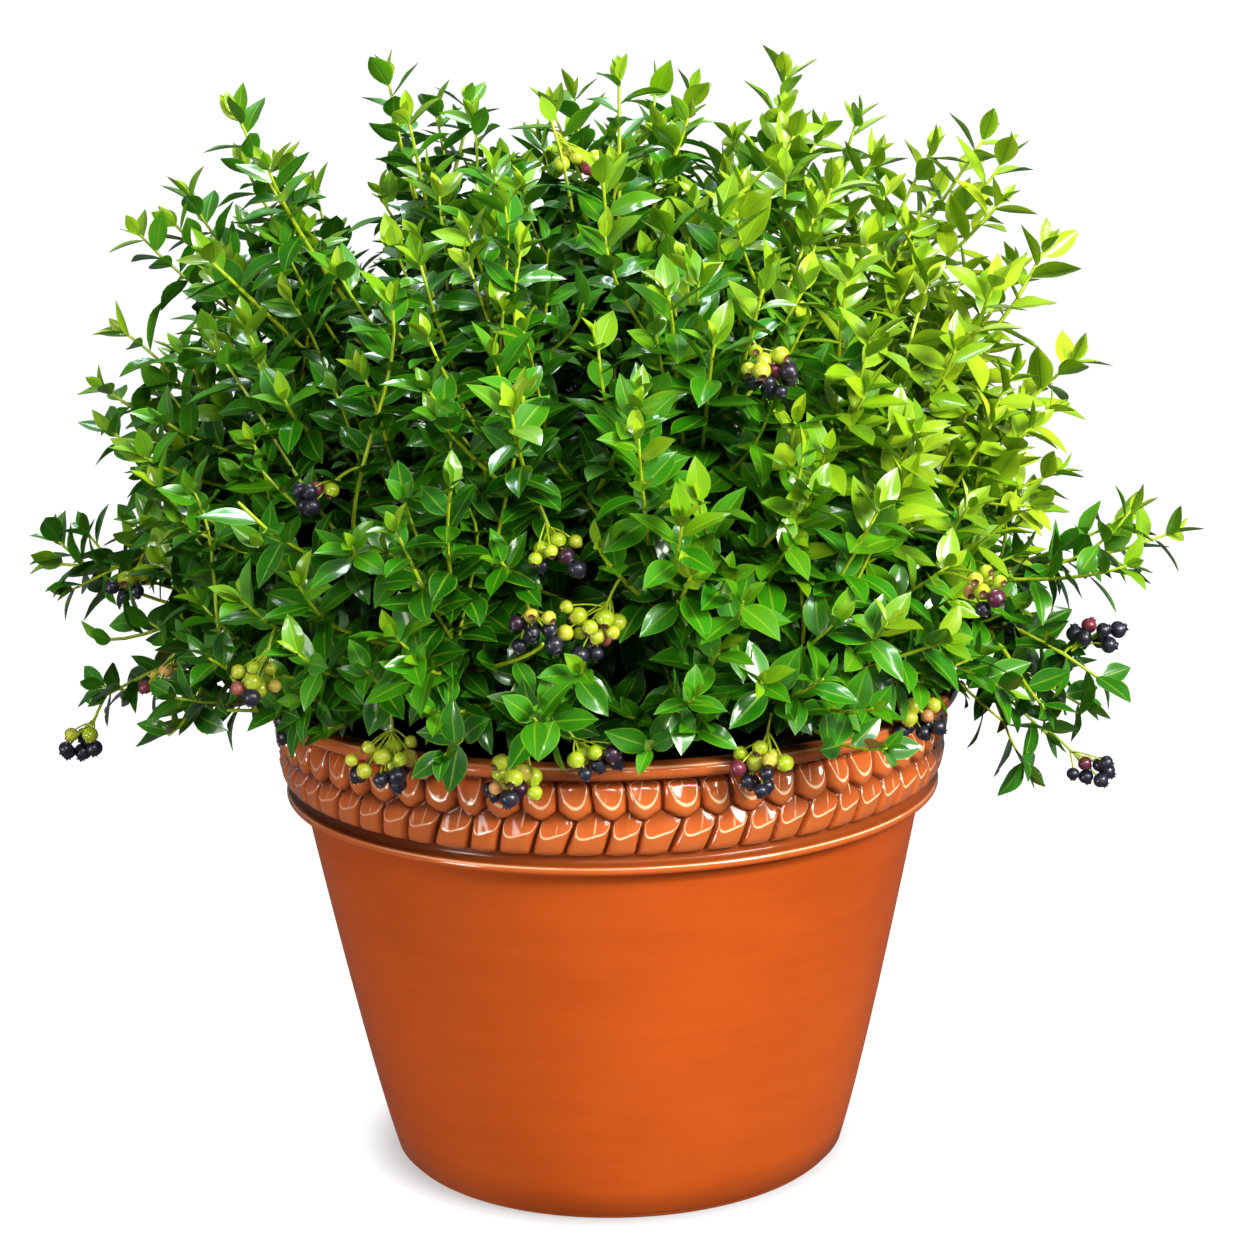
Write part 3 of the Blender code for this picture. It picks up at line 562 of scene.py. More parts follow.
def pot_section():
    """The pot's section from the edge of its floor over the lip to the edge of its foot's underside,
    with the plain neck that the band is wrapped round.
    """
    heights = np.linspace(FLOOR, BODY_HEIGHT, 8)
    inner_wall = np.stack([body_radius(heights) - WALL, heights], -1)
    lip_in = (MOUTH_RADIUS + LIP_INSET + LIP_ROUNDING, POT_HEIGHT - LIP_ROUNDING)
    lip_out = (LIP_RADIUS - LIP_ROUNDING, POT_HEIGHT - LIP_ROUNDING)
    inside = np.concatenate([inner_wall, [(MOUTH_RADIUS, MOUTH_BOTTOM)]])
    lip = np.concatenate([arc(lip_in, LIP_ROUNDING, 180.0, 90.0, 6),
                          arc(lip_out, LIP_ROUNDING, 82.0, -78.0, 11)])
    groove = arc(GROOVE_PLACE, GROOVE_RADIUS, 80.0, 180.0, 6)
    ledge_middle = (LEDGE_RADIUS - 0.5 * LEDGE_HEIGHT, BODY_HEIGHT + 0.5 * LEDGE_HEIGHT)
    neck = arc((NECK_RADIUS + NECK_FILLET, BAND_BOTTOM - 0.0015), NECK_FILLET, 180.0, 250.0, 5)
    ledge = arc(ledge_middle, 0.5 * LEDGE_HEIGHT, 58.0, -48.0, 13)
    body_heights = np.concatenate([BODY_HEIGHT + 0.0008 - 0.004 * np.linspace(0.0, 1.0, 3) ** 1.5,
                                   np.linspace(BODY_HEIGHT - 0.01, FOOT_ROUNDING, 12)])
    body = np.stack([body_radius(body_heights), body_heights], -1)
    foot = arc((body_radius(0.0) - FOOT_ROUNDING, FOOT_ROUNDING), FOOT_ROUNDING, -12.0, -90.0, 6)
    return np.concatenate([inside, lip, groove, neck, ledge, body, foot])


def rounded(x, power, soft):
    """(1 - |x|^power)^soft: 1 in the middle and 0 at both ends."""
    return np.clip(1.0 - np.abs(x) ** power, 0.0, 1.0) ** soft


def lower_of(a, b, blend):
    """The lower of two heights, with the crease between them rounded."""
    return -blend * np.logaddexp(-a / blend, -b / blend)


def plait(turn, across):
    """The plaited relief at a turn about the pot and a place across the band: its height, 0 to about 1, and
    three fields whose zeros place painted highlight lines: along a facet's edge, along a slanted line through
    each pillow and along the band's lower rim.

    Two rows of pillows lean opposite ways and meet along a wavy line.  A pillow is the product of
    two rounded bumps, one around the pot and one across the band, cut by a facet that faces up.
    """
    lobe = turn / math.tau * LOBES + 0.05 * np.sin(17.0 * turn + 3.0 * across) + 0.04 * np.sin(29.0 * turn)
    upper = (lobe + 0.15 * (across - 0.5) + 0.5) % 1.0 - 0.5
    lower = (lobe - 0.70 * (across - 0.5)) % 1.0 - 0.5
    seam = 0.545 - 0.055 * np.cos(math.tau * upper)
    high = np.clip((across - seam) / (1.0 - seam), 0.0, 1.0)
    low = np.clip(across / seam, 0.0, 1.0)
    top_dome = 1.10 * rounded(2.06 * upper, 5.0, 0.5) * rounded(2.0 * high - 1.0, 5.0, 0.5)
    top_dome = lower_of(top_dome, 1.04 + 2.0 * (upper + 0.27), 0.01)
    top_facet = 1.07 + 0.90 * (0.40 - high) + 0.25 * (2.0 * upper - 0.2) ** 2
    low_dome = 1.02 * rounded(2.10 * lower, 7.0, 0.5) * rounded(2.0 * low - 1.0, 6.0, 0.5)
    low_facet = 1.00 + 1.70 * (0.53 - low) + 0.35 * (2.0 * lower) ** 2
    height = np.where(across > seam, lower_of(top_dome, top_facet, 0.015),
                      lower_of(low_dome, low_facet, 0.015)).clip(0.0)
    inside = np.where(across > seam, top_dome - top_facet, low_dome - low_facet)
    streak = np.where(across > seam, upper + 0.10 - 0.30 * (high - 0.6), lower - 0.03 + 0.2 * (low - 0.8))
    return height, inside, streak, across - 0.030 - 0.012 * np.cos(math.tau * lower)


def turned(section, columns):
    """Radii and heights of a section, shape (rows, columns, 2) or (rows, 2), turned about Z."""
    if section.ndim == 2:
        section = section[:, None]
    return around_z(section[..., 0], full_turn(columns), section[..., 1])


def drained_disc(points, first_ring, first_hole):
    """Triangles of a flat disc inside a ring of corners, with a round hole for each drain."""
    loops = [first_ring + np.arange(POT_COLUMNS)]
    for hole in range(DRAIN_HOLES):
        loops.append(first_hole + DRAIN_COLUMNS * (hole + 1) - 1 - np.arange(DRAIN_COLUMNS))
    flat = [[Vector((x, y, 0.0)) for x, y, _ in points[loop]] for loop in loops]
    return np.concatenate(loops)[np.array(tessellate_polygon(flat))]


def drain_circles(height):
    """Points round each drain hole at a height."""
    middle = (np.arange(DRAIN_HOLES) + DRAIN_TURN) * math.tau / DRAIN_HOLES
    circle = around_z(DRAIN_RADIUS, full_turn(DRAIN_COLUMNS), height)
    return around_z(DRAIN_CIRCLE, middle, 0.0)[:, None] + circle


def make_pot(finish):
    """The turned pot: its section swept about Z, closed by a floor and an underside that three drain
    holes run through.
    """
    section = pot_section()
    rows = len(section)
    points = turned(section, POT_COLUMNS)
    z = section[:, 1]
    outer = section[:, 0] > MOUTH_RADIUS + 0.0005
    shine = np.clip((z - BODY_HEIGHT - 0.001) / 0.003, 0.0, 1.0)
    # Darker in the grooves above and below the band, as glaze pooled there and painted shade, and a painted
    # shadow just under the ledge.
    edges = np.exp(-((z - (BAND_TOP + 0.0015)) / 0.0024) ** 2)
    edges = edges + np.exp(-((z - UNDER_BAND) / 0.0026) ** 2)
    painted_ledge_shadow = 0.5 * np.exp(-((z - (BODY_HEIGHT - 0.001)) / 0.0022) ** 2)
    recess = np.clip(edges + painted_ledge_shadow, 0.0, 1.0) * outer
    holes = np.stack([drain_circles(FLOOR), drain_circles(0.0)])
    first_hole = rows * POT_COLUMNS
    points = np.concatenate([points.reshape(-1, 3), holes.reshape(-1, 3)])
    faces = grid_faces(rows, POT_COLUMNS)[:, ::-1].tolist()
    around = DRAIN_HOLES * DRAIN_COLUMNS
    for hole in range(DRAIN_HOLES):
        upper = first_hole + hole * DRAIN_COLUMNS + np.arange(DRAIN_COLUMNS)
        after = np.roll(upper, -1)
        faces += np.stack([upper, after, after + around, upper + around], -1).tolist()
    faces += facing(points, drained_disc(points, 0, first_hole), UP)
    faces += facing(points, drained_disc(points, (rows - 1) * POT_COLUMNS, first_hole + around), -UP)
    # The rim field is near zero along the lip's outer top and the ledge's upper shoulder, where painted
    # highlight lines go.
    lip = (z > BAND_TOP + 0.0026) & (section[:, 0] > LIP_RADIUS - 0.006)
    ledge = (z > BODY_HEIGHT) & (z < UNDER_BAND) & outer
    plain = np.full(rows, -1.0)
    rim = plain.copy()
    rim[(z < BAND_BOTTOM) & (z > BODY_HEIGHT) & outer] = 1.0
    rim[lip] = (z[lip] - POT_HEIGHT + 0.0009) / RIM_UNIT
    rim[ledge] = (z[ledge] - BODY_HEIGHT - 0.75 * LEDGE_HEIGHT) / RIM_UNIT
    rows_of = {"recess": recess, "shine": shine, "facet": plain, "streak": plain, "rim": rim}
    attributes = {key: np.append(np.repeat(row, POT_COLUMNS), np.full(2 * around, row[-1]))
                  for key, row in rows_of.items()}
    make_piece("glazed_pot", points, faces, finish, ["pot"], attributes, 50.0)


def make_band(finish):
    """The plaited band: a ring whose outer radius grows by the plait's height, closed inside the neck."""
    turn = full_turn(BAND_COLUMNS)
    share = np.linspace(1.0, 0.0, BAND_ROWS)[:, None]
    height, *fields = plait(turn[None, :], share)
    edge = rounded(2.0 * share - 1.0, 14.0, 0.5)
    bulge = BAND_BULGE * (2.0 * (1.0 - share) - 0.7) ** 2
    radius = BAND_RADIUS - bulge + RELIEF * (height - RELIEF_LEVEL) - 0.004 * (1.0 - edge)
    level = BAND_BOTTOM + (BAND_TOP - BAND_BOTTOM) * share + 0.0 * radius
    behind = NECK_RADIUS - 0.0007
    hidden = np.array([(behind, BAND_BOTTOM + 0.001), (behind, BAND_TOP - 0.001)])
    back = np.broadcast_to(hidden[:, None], (2, BAND_COLUMNS, 2))
    section = np.concatenate([np.stack([radius, level], -1), back])
    rows = len(section)
    points = turned(section, BAND_COLUMNS).reshape(-1, 3)
    first = np.arange(BAND_COLUMNS)
    last = first + (rows - 1) * BAND_COLUMNS
    closing = np.stack([first, np.roll(first, -1), np.roll(last, -1), last], -1)
    faces = grid_faces(rows, BAND_COLUMNS)[:, ::-1].tolist() + closing.tolist()
    # recess darkens the relief's hollows, as pooled glaze and painted shade; facet, streak and rim place
    # painted highlight lines.
    hidden_rows = np.ones((2, BAND_COLUMNS))
    recess = np.concatenate([np.clip(1.0 - height, 0.0, 1.0), hidden_rows])
    attributes = {"recess": recess.ravel(), "shine": np.ones(recess.size)}
    for key, field in zip(("facet", "streak", "rim"), fields):
        attributes[key] = np.concatenate([field + 0.0 * turn, -hidden_rows]).ravel()
    make_piece("plaited_band", points, faces, finish, ["pot"], attributes, 180.0)


# ---------------------------------------------------------------- soil and crown

def ripples(x, y, seed, count, size):
    """Sum of sines with seeded directions and phases, between about -1 and 1."""
    draw = np.random.default_rng(seed)
    way = draw.normal(0.0, 1.0 / size, (count, 2))
    phase = draw.uniform(0.0, math.tau, count)
    waves = np.sin(x[..., None] * way[:, 0] + y[..., None] * way[:, 1] + phase)
    return waves.sum(-1) / math.sqrt(count)


def make_soil(finish):
    """A closed plug: a crumbly dome above, the pot's inner section below."""
    reach = np.linspace(0.004, SOIL_REACH, SOIL_ROWS)[:, None]
    dome = SOIL_MIDDLE + (SOIL_EDGE - SOIL_MIDDLE) * (reach / MOUTH_RADIUS) ** 2
    top = around_z(reach, full_turn(SOIL_COLUMNS), dome)
    x, y = top[..., 0], top[..., 1]
    top[..., 2] += 0.0010 * ripples(x, y, 3, 24, 0.004) + 0.0016 * ripples(x, y, 4, 12, 0.015)
    bottom = FLOOR + SOIL_GAP
    side = [(SOIL_REACH, SOIL_SHOULDER)]
    side += [(body_radius(h) - WALL - SOIL_GAP, h) for h in (BODY_HEIGHT, 0.15, 0.08, bottom)]
    side += [(0.02, bottom)]
    rings = np.concatenate([top, turned(np.array(side), SOIL_COLUMNS)])
    poles = np.array([[0.0, 0.0, SOIL_MIDDLE], [0.0, 0.0, bottom]])
    quads, ends = tube_faces(len(rings), SOIL_COLUMNS, downward=True)
    points = np.concatenate([rings.reshape(-1, 3), poles])
    make_piece("potting_soil", points, quads.tolist() + ends.tolist(), finish, ["soil"])


def make_crown(finish):
    """A low woody mound, its radius and height rippled by knots, closed below."""
    tilt = np.linspace(0.06, math.pi - 0.25, CROWN_ROWS)[:, None]
    x, y, _ = np.moveaxis(around_z(np.sin(tilt), full_turn(CROWN_COLUMNS), 0.0), -1, 0)
    knots = 1.0 + 0.05 * ripples(x, y, 11, 14, 0.22)
    rise = np.where(tilt < 0.5 * math.pi, CROWN_RISE, CROWN_DEPTH)
    middle = SOIL_MIDDLE - CROWN_SINK
    rings = np.stack([CROWN_RADIUS * x * knots, CROWN_RADIUS * y * knots,
                      middle + rise * np.cos(tilt) * knots], -1)
    poles = np.array([[0.0, 0.0, middle + CROWN_RISE], [0.0, 0.0, middle - CROWN_DEPTH]])
    quads, ends = tube_faces(CROWN_ROWS, CROWN_COLUMNS, downward=True)
    points = np.concatenate([rings.reshape(-1, 3), poles])
    make_piece("woody_crown", points, quads.tolist() + ends.tolist(), finish, ["crown"])


# ---------------------------------------------------------------- skeleton

def dome_point(azimuth, sine, stretch):
    """The superellipse of revolution about the bush's centre, read in a direction."""
    cosine = np.sqrt(np.maximum(0.0, 1.0 - sine * sine))
    power = BUSH_SQUARENESS
    reach = (np.abs(cosine / BUSH_REACH) ** power + np.abs(sine / BUSH_RISE) ** power) ** (-1.0 / power)
    return BUSH_CENTRE + (stretch * reach)[..., None] * around_z(cosine, azimuth, sine)


def tip_direction(azimuth, elevation):
    """Straight out at the bottom of the dome, straight up at its top."""
    share = np.maximum(0.0, (elevation - LOWEST_TIP) / (0.5 * math.pi - LOWEST_TIP))
    pitch = 0.5 * math.pi * np.sqrt(share)
    return around_z(np.cos(pitch), azimuth, np.sin(pitch))


def branch_tips():
    """Tips in sunflower order over the dome, the nearest ones moved to the leaders."""
    index = np.arange(BRANCHES)
    sine = 1.0 - (1.0 - LOWEST_SINE) * (index + 0.5) / BRANCHES
    azimuth = index * GOLDEN_ANGLE
    tips = dome_point(azimuth, sine, 0.97 + 0.05 * np.sin(5.1 * index))
    ways = tip_direction(azimuth, np.arcsin(sine))
    free = np.ones(BRANCHES, bool)
    for place, pitch in LEADERS:
        far = np.where(free, np.linalg.norm(tips - np.array(place), axis=1), 9.0)
        nearest = int(np.argmin(far))
        free[nearest] = False
        out = np.array(place) - BUSH_CENTRE
        azimuth_out, angle = math.atan2(out[1], out[0]), math.radians(pitch)
        tips[nearest] = place
        ways[nearest] = (math.cos(angle) * math.cos(azimuth_out),
                         math.cos(angle) * math.sin(azimuth_out), math.sin(angle))
    return tips, ways


def bezier(control, t):
    """Cubic Bezier points for control points (..., 4, 3) at parameters (n) or (..., n)."""
    s, t = 1.0 - t[..., None], t[..., None]
    a, b, c, d = (control[..., None, k, :] for k in range(4))
    return s ** 3 * a + 3.0 * s * s * t * b + 3.0 * s * t * t * c + t ** 3 * d


def bezier_way(control, t):
    """Unit tangents of the same curves."""
    s, t = 1.0 - t[..., None], t[..., None]
    a, b, c, d = (control[..., None, k, :] for k in range(4))
    return unit(s * s * (b - a) + 2.0 * s * t * (c - b) + t * t * (d - c))


def cane_controls(tips, ways):
    """Each cane leaves the crown leaning out by its distance from the middle, and ends at its tip."""
    index = np.arange(BRANCHES)
    radius = BASE_DISC * np.sqrt((index + 0.5) / BRANCHES)
    azimuth = index * GOLDEN_ANGLE
    outward = around_z(1.0, azimuth, 0.0)
    height = SOIL_MIDDLE + CROWN_RISE * np.sqrt(1.0 - (radius / CROWN_RADIUS) ** 2) - CANE_ROOT_DEPTH
    start = radius[:, None] * outward + height[:, None] * UP
    length = np.linalg.norm(tips - start, axis=1)[:, None]
    lean = unit(outward * (0.1 + 9.0 * radius)[:, None] + UP)
    return np.stack([start, start + 0.38 * length * lean, tips - 0.36 * length * ways, tips], 1)


def twig_controls(canes, tips, ways):
    """Two twigs a cane, forking from it and ending beside its tip."""
    found = []
    index = np.arange(BRANCHES)
    out = tips - BUSH_CENTRE
    for number, fork in enumerate(TWIG_STARTS):
        start = bezier(canes, np.array([fork]))[:, 0]
        along = bezier_way(canes, np.array([fork]))[:, 0]
        side = unit(np.cross(UP, out)) * np.where(index % 2 == number, -1.0, 1.0)[:, None]
        turn = TWIG_TURN * (0.75 + 0.25 * np.sin(2.3 * index + number))[:, None]
        lift = unit(np.cross(out, side)) * (0.35 * np.sin(1.7 * index + 3.0 * number))[:, None]
        reach = np.linalg.norm(out, axis=1)[:, None]
        end = BUSH_CENTRE + unit(unit(out) + turn * (side + lift)) * reach * 0.93
        length = np.linalg.norm(end - start, axis=1)[:, None]
        heading = unit(ways + 0.35 * side)
        found.append(np.stack([start, start + 0.35 * length * unit(along + 0.5 * side),
                               end - 0.35 * length * heading, end], 1))
    return np.concatenate(found), np.tile(index, len(TWIG_STARTS))


def fill_tips(count, lowest, inner, outer, seed):
    """Evenly spread tips over the dome, each drawn back to a share of the dome's reach."""
    draw = np.random.default_rng(seed)
    index = np.arange(count)
    sine = 1.0 - (1.0 - lowest) * (index + 0.5) / count
    sine = np.clip(sine + draw.normal(0.0, 0.02, count), -0.99, 0.99)
    azimuth = index * GOLDEN_ANGLE + draw.normal(0.0, 0.06, count)
    stretch = draw.uniform(inner, outer, count)
    tips = dome_point(azimuth, sine, stretch)
    ways = tip_direction(azimuth, np.arcsin(sine))
    return tips, unit(ways + draw.normal(0.0, 0.14, (count, 3)))


def rim_tips():
    """Short shoots all round that end just over the pot's lip."""
    draw = np.random.default_rng(RIM_SEED)
    turn = (np.arange(RIM_SHOOTS) + draw.uniform(-0.3, 0.3, RIM_SHOOTS)) * math.tau / RIM_SHOOTS
    reach = draw.uniform(*RIM_REACH, RIM_SHOOTS)
    height = draw.uniform(*RIM_HEIGHT, RIM_SHOOTS)
    pitch = np.radians(draw.uniform(*RIM_PITCH, RIM_SHOOTS))
    return around_z(reach, turn, height), around_z(np.cos(pitch), turn, np.sin(pitch))


def fill_controls(canes, tips, ways, length, seed):
    """Each tip's shoot leaves the cane point whose distance suits its length and lies on its side."""
    draw = np.random.default_rng(seed)
    t = np.linspace(0.30, 0.88, 13)
    spots, headings = bezier(canes, t), bezier_way(canes, t)
    away = tips[:, None, None] - spots[None]
    far = np.linalg.norm(away, axis=-1)
    wanted = length * draw.uniform(0.8, 1.2, len(tips))[:, None, None]
    agree = (unit(away) * ways[:, None, None]).sum(-1)
    cost = np.abs(far - wanted) / length + 0.9 * (1.0 - agree)
    best = cost.reshape(len(tips), -1).argmin(1)
    owner, place = np.unravel_index(best, (BRANCHES, len(t)))
    start, along = spots[owner, place], headings[owner, place]
    reach = np.linalg.norm(tips - start, axis=1)[:, None]
    bend = unit(0.8 * along + unit(tips - start))
    controls = np.stack([start, start + 0.36 * reach * bend, tips - 0.38 * reach * ways, tips], 1)
    return controls, owner


# ---------------------------------------------------------------- stems

def make_stems(name, controls, start_radius, end_radius, young, finish, stands_for):
    """Tapering tubes along Bezier curves: circles of shrinking radius across each curve."""
    rings, sides = 11, 6
    t = np.linspace(0.0, 1.0, rings)
    middle = bezier(controls, t)
    way = bezier_way(controls, t)
    across = unit(np.cross(way, np.array([0.31, 0.87, 0.38])))
    other = np.cross(way, across)
    angle = full_turn(sides)
    radius = start_radius[:, None] + (end_radius - start_radius)[:, None] * t ** 0.8
    circle = across[:, :, None] * np.cos(angle)[:, None] + other[:, :, None] * np.sin(angle)[:, None]
    wall = middle[:, :, None] + radius[:, :, None, None] * circle
    poles = np.stack([middle[:, 0], middle[:, -1] + way[:, -1] * end_radius[:, None]], 1)
    points = np.concatenate([wall.reshape(len(controls), -1, 3), poles], 1)
    stride = rings * sides + 2
    quads, ends = tube_faces(rings, sides)
    faces = repeated(quads, len(controls), stride) + repeated(ends, len(controls), stride)
    age = (1.0 - young[:, None]) * (1.0 - t) ** 1.5
    age = np.concatenate([np.repeat(age, sides, axis=1), age[:, :1], age[:, -1:]], 1)
    make_piece(name, points, faces, finish, stands_for, {"age": age})


# ---------------------------------------------------------------- leaves

def leaf_topology():
    """Corner numbers of one leaf: a grid above and a coarser one below that share the margin and ends."""
    rows, columns = LEAF_STATIONS, len(LEAF_COLUMNS)
    upper = np.arange(rows * columns).reshape(rows, columns)
    keel = np.arange(rows) + rows * columns
    lower = np.stack([upper[:, 0], keel, upper[:, -1]], 1)
    base = rows * columns + rows
    quads, ends = [], []
    for sheet, flip in ((upper, False), (lower, True)):
        quad = np.stack([sheet[:-1, :-1], sheet[:-1, 1:], sheet[1:, 1:], sheet[1:, :-1]], -1).reshape(-1, 4)
        root = np.stack([sheet[0, 1:], sheet[0, :-1], np.full(sheet.shape[1] - 1, base)], -1)
        tip = np.stack([sheet[-1, :-1], sheet[-1, 1:], np.full(sheet.shape[1] - 1, base + 1)], -1)
        end = np.concatenate([root, tip])
        quads.append(quad[:, ::-1] if flip else quad)
        ends.append(end[:, ::-1] if flip else end)
    return np.concatenate(quads), np.concatenate(ends), base + 2


def leaf_points(root, out, face, length, width, fold, curl, wave):
    """Leaf surfaces.  Along the leaf the midrib is an arc that turns by curl; across it the blade
    is as wide as u^0.9 (1 - u)^1.15, folded up in a V and rippled at its margin.
    """
    u = ((np.arange(LEAF_STATIONS) + 1.0) / (LEAF_STATIONS + 1.0)) ** 0.92
    v = np.array(LEAF_COLUMNS)
    outline = u ** 0.9 * (1.0 - u) ** 1.15
    outline = outline / outline.max()
    side = np.cross(out, face)

    def midrib(s):
        turn = curl[:, None] * s
        safe = np.where(np.abs(curl) < 1e-3, 1e-3, curl)[:, None]
        forward = length[:, None] * np.sin(safe * s) / safe
        drop = length[:, None] * (1.0 - np.cos(safe * s)) / safe
        spot = root[:, None] + out[:, None] * forward[..., None] - face[:, None] * drop[..., None]
        normal = face[:, None] * np.cos(turn)[..., None] + out[:, None] * np.sin(turn)[..., None]
        return spot, normal

    spot, normal = midrib(u)
    half = 0.5 * width[:, None] * outline
    reach = half[:, :, None] * v
    raise_by = np.abs(reach) * np.tan(fold)[:, None, None] * (1.0 - 0.35 * np.abs(v))
    swing = np.sin(9.0 * u + 4.0 * wave[:, None] * 9.0)[:, :, None]
    ripple = wave[:, None, None] * half[:, :, None] * np.abs(v) ** 2 * swing
    upper = (spot[:, :, None] + side[:, None, None] * reach[..., None] * 0.97
             + normal[:, :, None] * (raise_by + ripple)[..., None])
    keel = spot - normal * LEAF_THICKNESS
    ends, _ = midrib(np.array([0.0, 1.0]))
    count = len(root)
    points = np.concatenate([upper.reshape(count, -1, 3), keel, ends], 1)
    grid = (LEAF_STATIONS, len(v))
    rows = {
        "along": np.concatenate([np.broadcast_to(u[:, None], grid).ravel(), u, [0.0, 1.0]]),
        "across": np.concatenate([np.broadcast_to(v, grid).ravel(), 0.0 * u, [0.0, 0.0]]),
        "under": np.concatenate([np.zeros(u.size * v.size), np.ones(u.size), [0.5, 0.5]]),
    }
    return points, {key: np.broadcast_to(row, (count, len(row))) for key, row in rows.items()}


def clear_of_fruit(places):
    """Whether each place is off the line from every fruit cluster out of the bush."""
    clear = np.ones(places.shape[:-1], bool)
    for place, *_ in CLUSTERS:
        middle = np.array(place)
        outward = unit(middle * (1.0, 1.0, 0.0) + 0.05 * UP)
        away = places - middle
        along = (away * outward).sum(-1)
        aside = np.linalg.norm(away - along[..., None] * outward, axis=-1)
        clear &= (along < WINDOW_START) | (along > WINDOW_END) | (aside > WINDOW_RADIUS)
    return clear


def clear_of_notches(places):
    """Whether each place is outside every notch."""
    clear = np.ones(places.shape[:-1], bool)
    for x, z, radius in NOTCHES:
        clear &= np.hypot(places[..., 0] - x, places[..., 2] - z) > radius
    return clear


def clear_of_pot(places):
    """Whether each place is above the pot's lip, or far enough out beside it: further at its front."""
    reach = np.hypot(places[..., 0], places[..., 1])
    least = LIP_RADIUS + np.where(places[..., 1] < POT_FRONT, FRONT_ROOM, SIDE_ROOM)
    return (places[..., 2] > POT_HEIGHT + LIP_ROOM) | (reach > least)


def seat_leaves(controls, seed, share, maturity, size):
    """Leaves in a spiral down each shoot from its tip.

    Returns their roots, directions, faces, lengths, ages and the shoot of each.  A leaf leans from
    the stem by more the older it is, and turns its face between the sky and the bush's outside.
    """
    draw = np.random.default_rng(seed)
    count = len(controls)
    path = bezier(controls, np.linspace(0.0, 1.0, 9))
    length = np.linalg.norm(np.diff(path, axis=1), axis=-1).sum(1)
    k = np.arange(LEAVES_PER_SHOOT)[None, :]
    all_leaves = (count, LEAVES_PER_SHOOT)
    distance = LEAF_SPACING * (np.maximum(k - 2.2, 0.22 * k) + draw.uniform(-0.2, 0.2, all_leaves))
    distance = np.maximum(distance, 0.0)
    t = 1.0 - distance / length[:, None]
    keep = t > 1.0 - share[:, None]
    t = np.clip(t, 0.0, 1.0)
    spot = bezier(controls, t)
    along = bezier_way(controls, t)
    first = unit(np.cross(along, np.array([0.21, 0.93, 0.30])))
    second = np.cross(along, first)
    turn = k * GOLDEN_ANGLE + draw.uniform(0.0, math.tau, (count, 1)) + draw.normal(0.0, 0.25, all_leaves)
    aside = first * np.cos(turn)[..., None] + second * np.sin(turn)[..., None]
    grown = np.clip(k / 5.0, 0.0, 1.0)
    lean = np.radians(12.0 + 50.0 * grown ** 0.7 + draw.normal(0.0, 9.0, all_leaves))
    out = unit(aside * np.sin(lean)[..., None] + along * np.cos(lean)[..., None])
    outside = unit(spot - BUSH_CENTRE)
    sky = unit(0.75 * UP + 0.45 * outside + 0.35 * along - 0.5 * aside * (1.0 - grown)[..., None])
    sky = sky + draw.normal(0.0, 0.28, (*all_leaves, 3))
    face = unit(sky - out * (sky * out).sum(-1, keepdims=True))
    scale = np.interp(k, *LEAF_SCALES)
    leaf_length = LEAF_LENGTH * size[:, None] * scale * draw.uniform(0.85, 1.14, all_leaves)
    age = np.clip(maturity[:, None] + (1.0 - maturity[:, None]) * k / 11.0, 0.0, 1.0)
    # Painted light: younger, lighter leaves towards the upper +X side, the lit side.
    lit_side = np.clip((spot[..., ::2] - LIT_SIDE_START) / LIT_SIDE_SPAN, 0.0, 1.0).prod(-1)
    age = age * (1.0 - LIT_SIDE_YOUTH * lit_side)
    age = np.clip(age + draw.normal(0.0, 0.06, all_leaves), 0.0, 1.0)
    shoot = np.broadcast_to(np.arange(count)[:, None], keep.shape)
    middle, tip = spot + 0.5 * leaf_length[..., None] * out, spot + leaf_length[..., None] * out
    keep = keep & clear_of_fruit(middle) & clear_of_notches(middle)
    keep = keep & clear_of_pot(spot) & clear_of_pot(tip)
    return {"root": spot[keep], "out": out[keep], "face": face[keep], "length": leaf_length[keep],
            "age": age[keep], "shoot": shoot[keep]}


def make_leaves(name, seats, seed, finish, stands_for):
    """All the leaves of one branch in one mesh."""
    draw = np.random.default_rng(seed)
    count = len(seats["root"])
    age = seats["age"]
    width = seats["length"] * draw.uniform(0.48, 0.60, count) * (0.86 + 0.14 * age)
    fold = np.radians(draw.uniform(7.0, 24.0, count) + 10.0 * (1.0 - age))
    curl = draw.normal(0.45, 0.30, count) * (0.35 + 0.65 * age)
    wave = draw.uniform(0.0, 0.10, count)
    points, rows = leaf_points(seats["root"], seats["out"], seats["face"], seats["length"], width,
                               fold, curl, wave)
    quads, ends, stride = leaf_topology()
    faces = repeated(quads, count, stride) + repeated(ends, count, stride)
    rows["age"] = np.repeat(age[:, None], stride, 1)
    rows["tint"] = np.repeat(draw.uniform(0.0, 1.0, (count, 1)), stride, 1)
    make_piece(name, points, faces, finish, stands_for, rows)


# ---------------------------------------------------------------- fruit

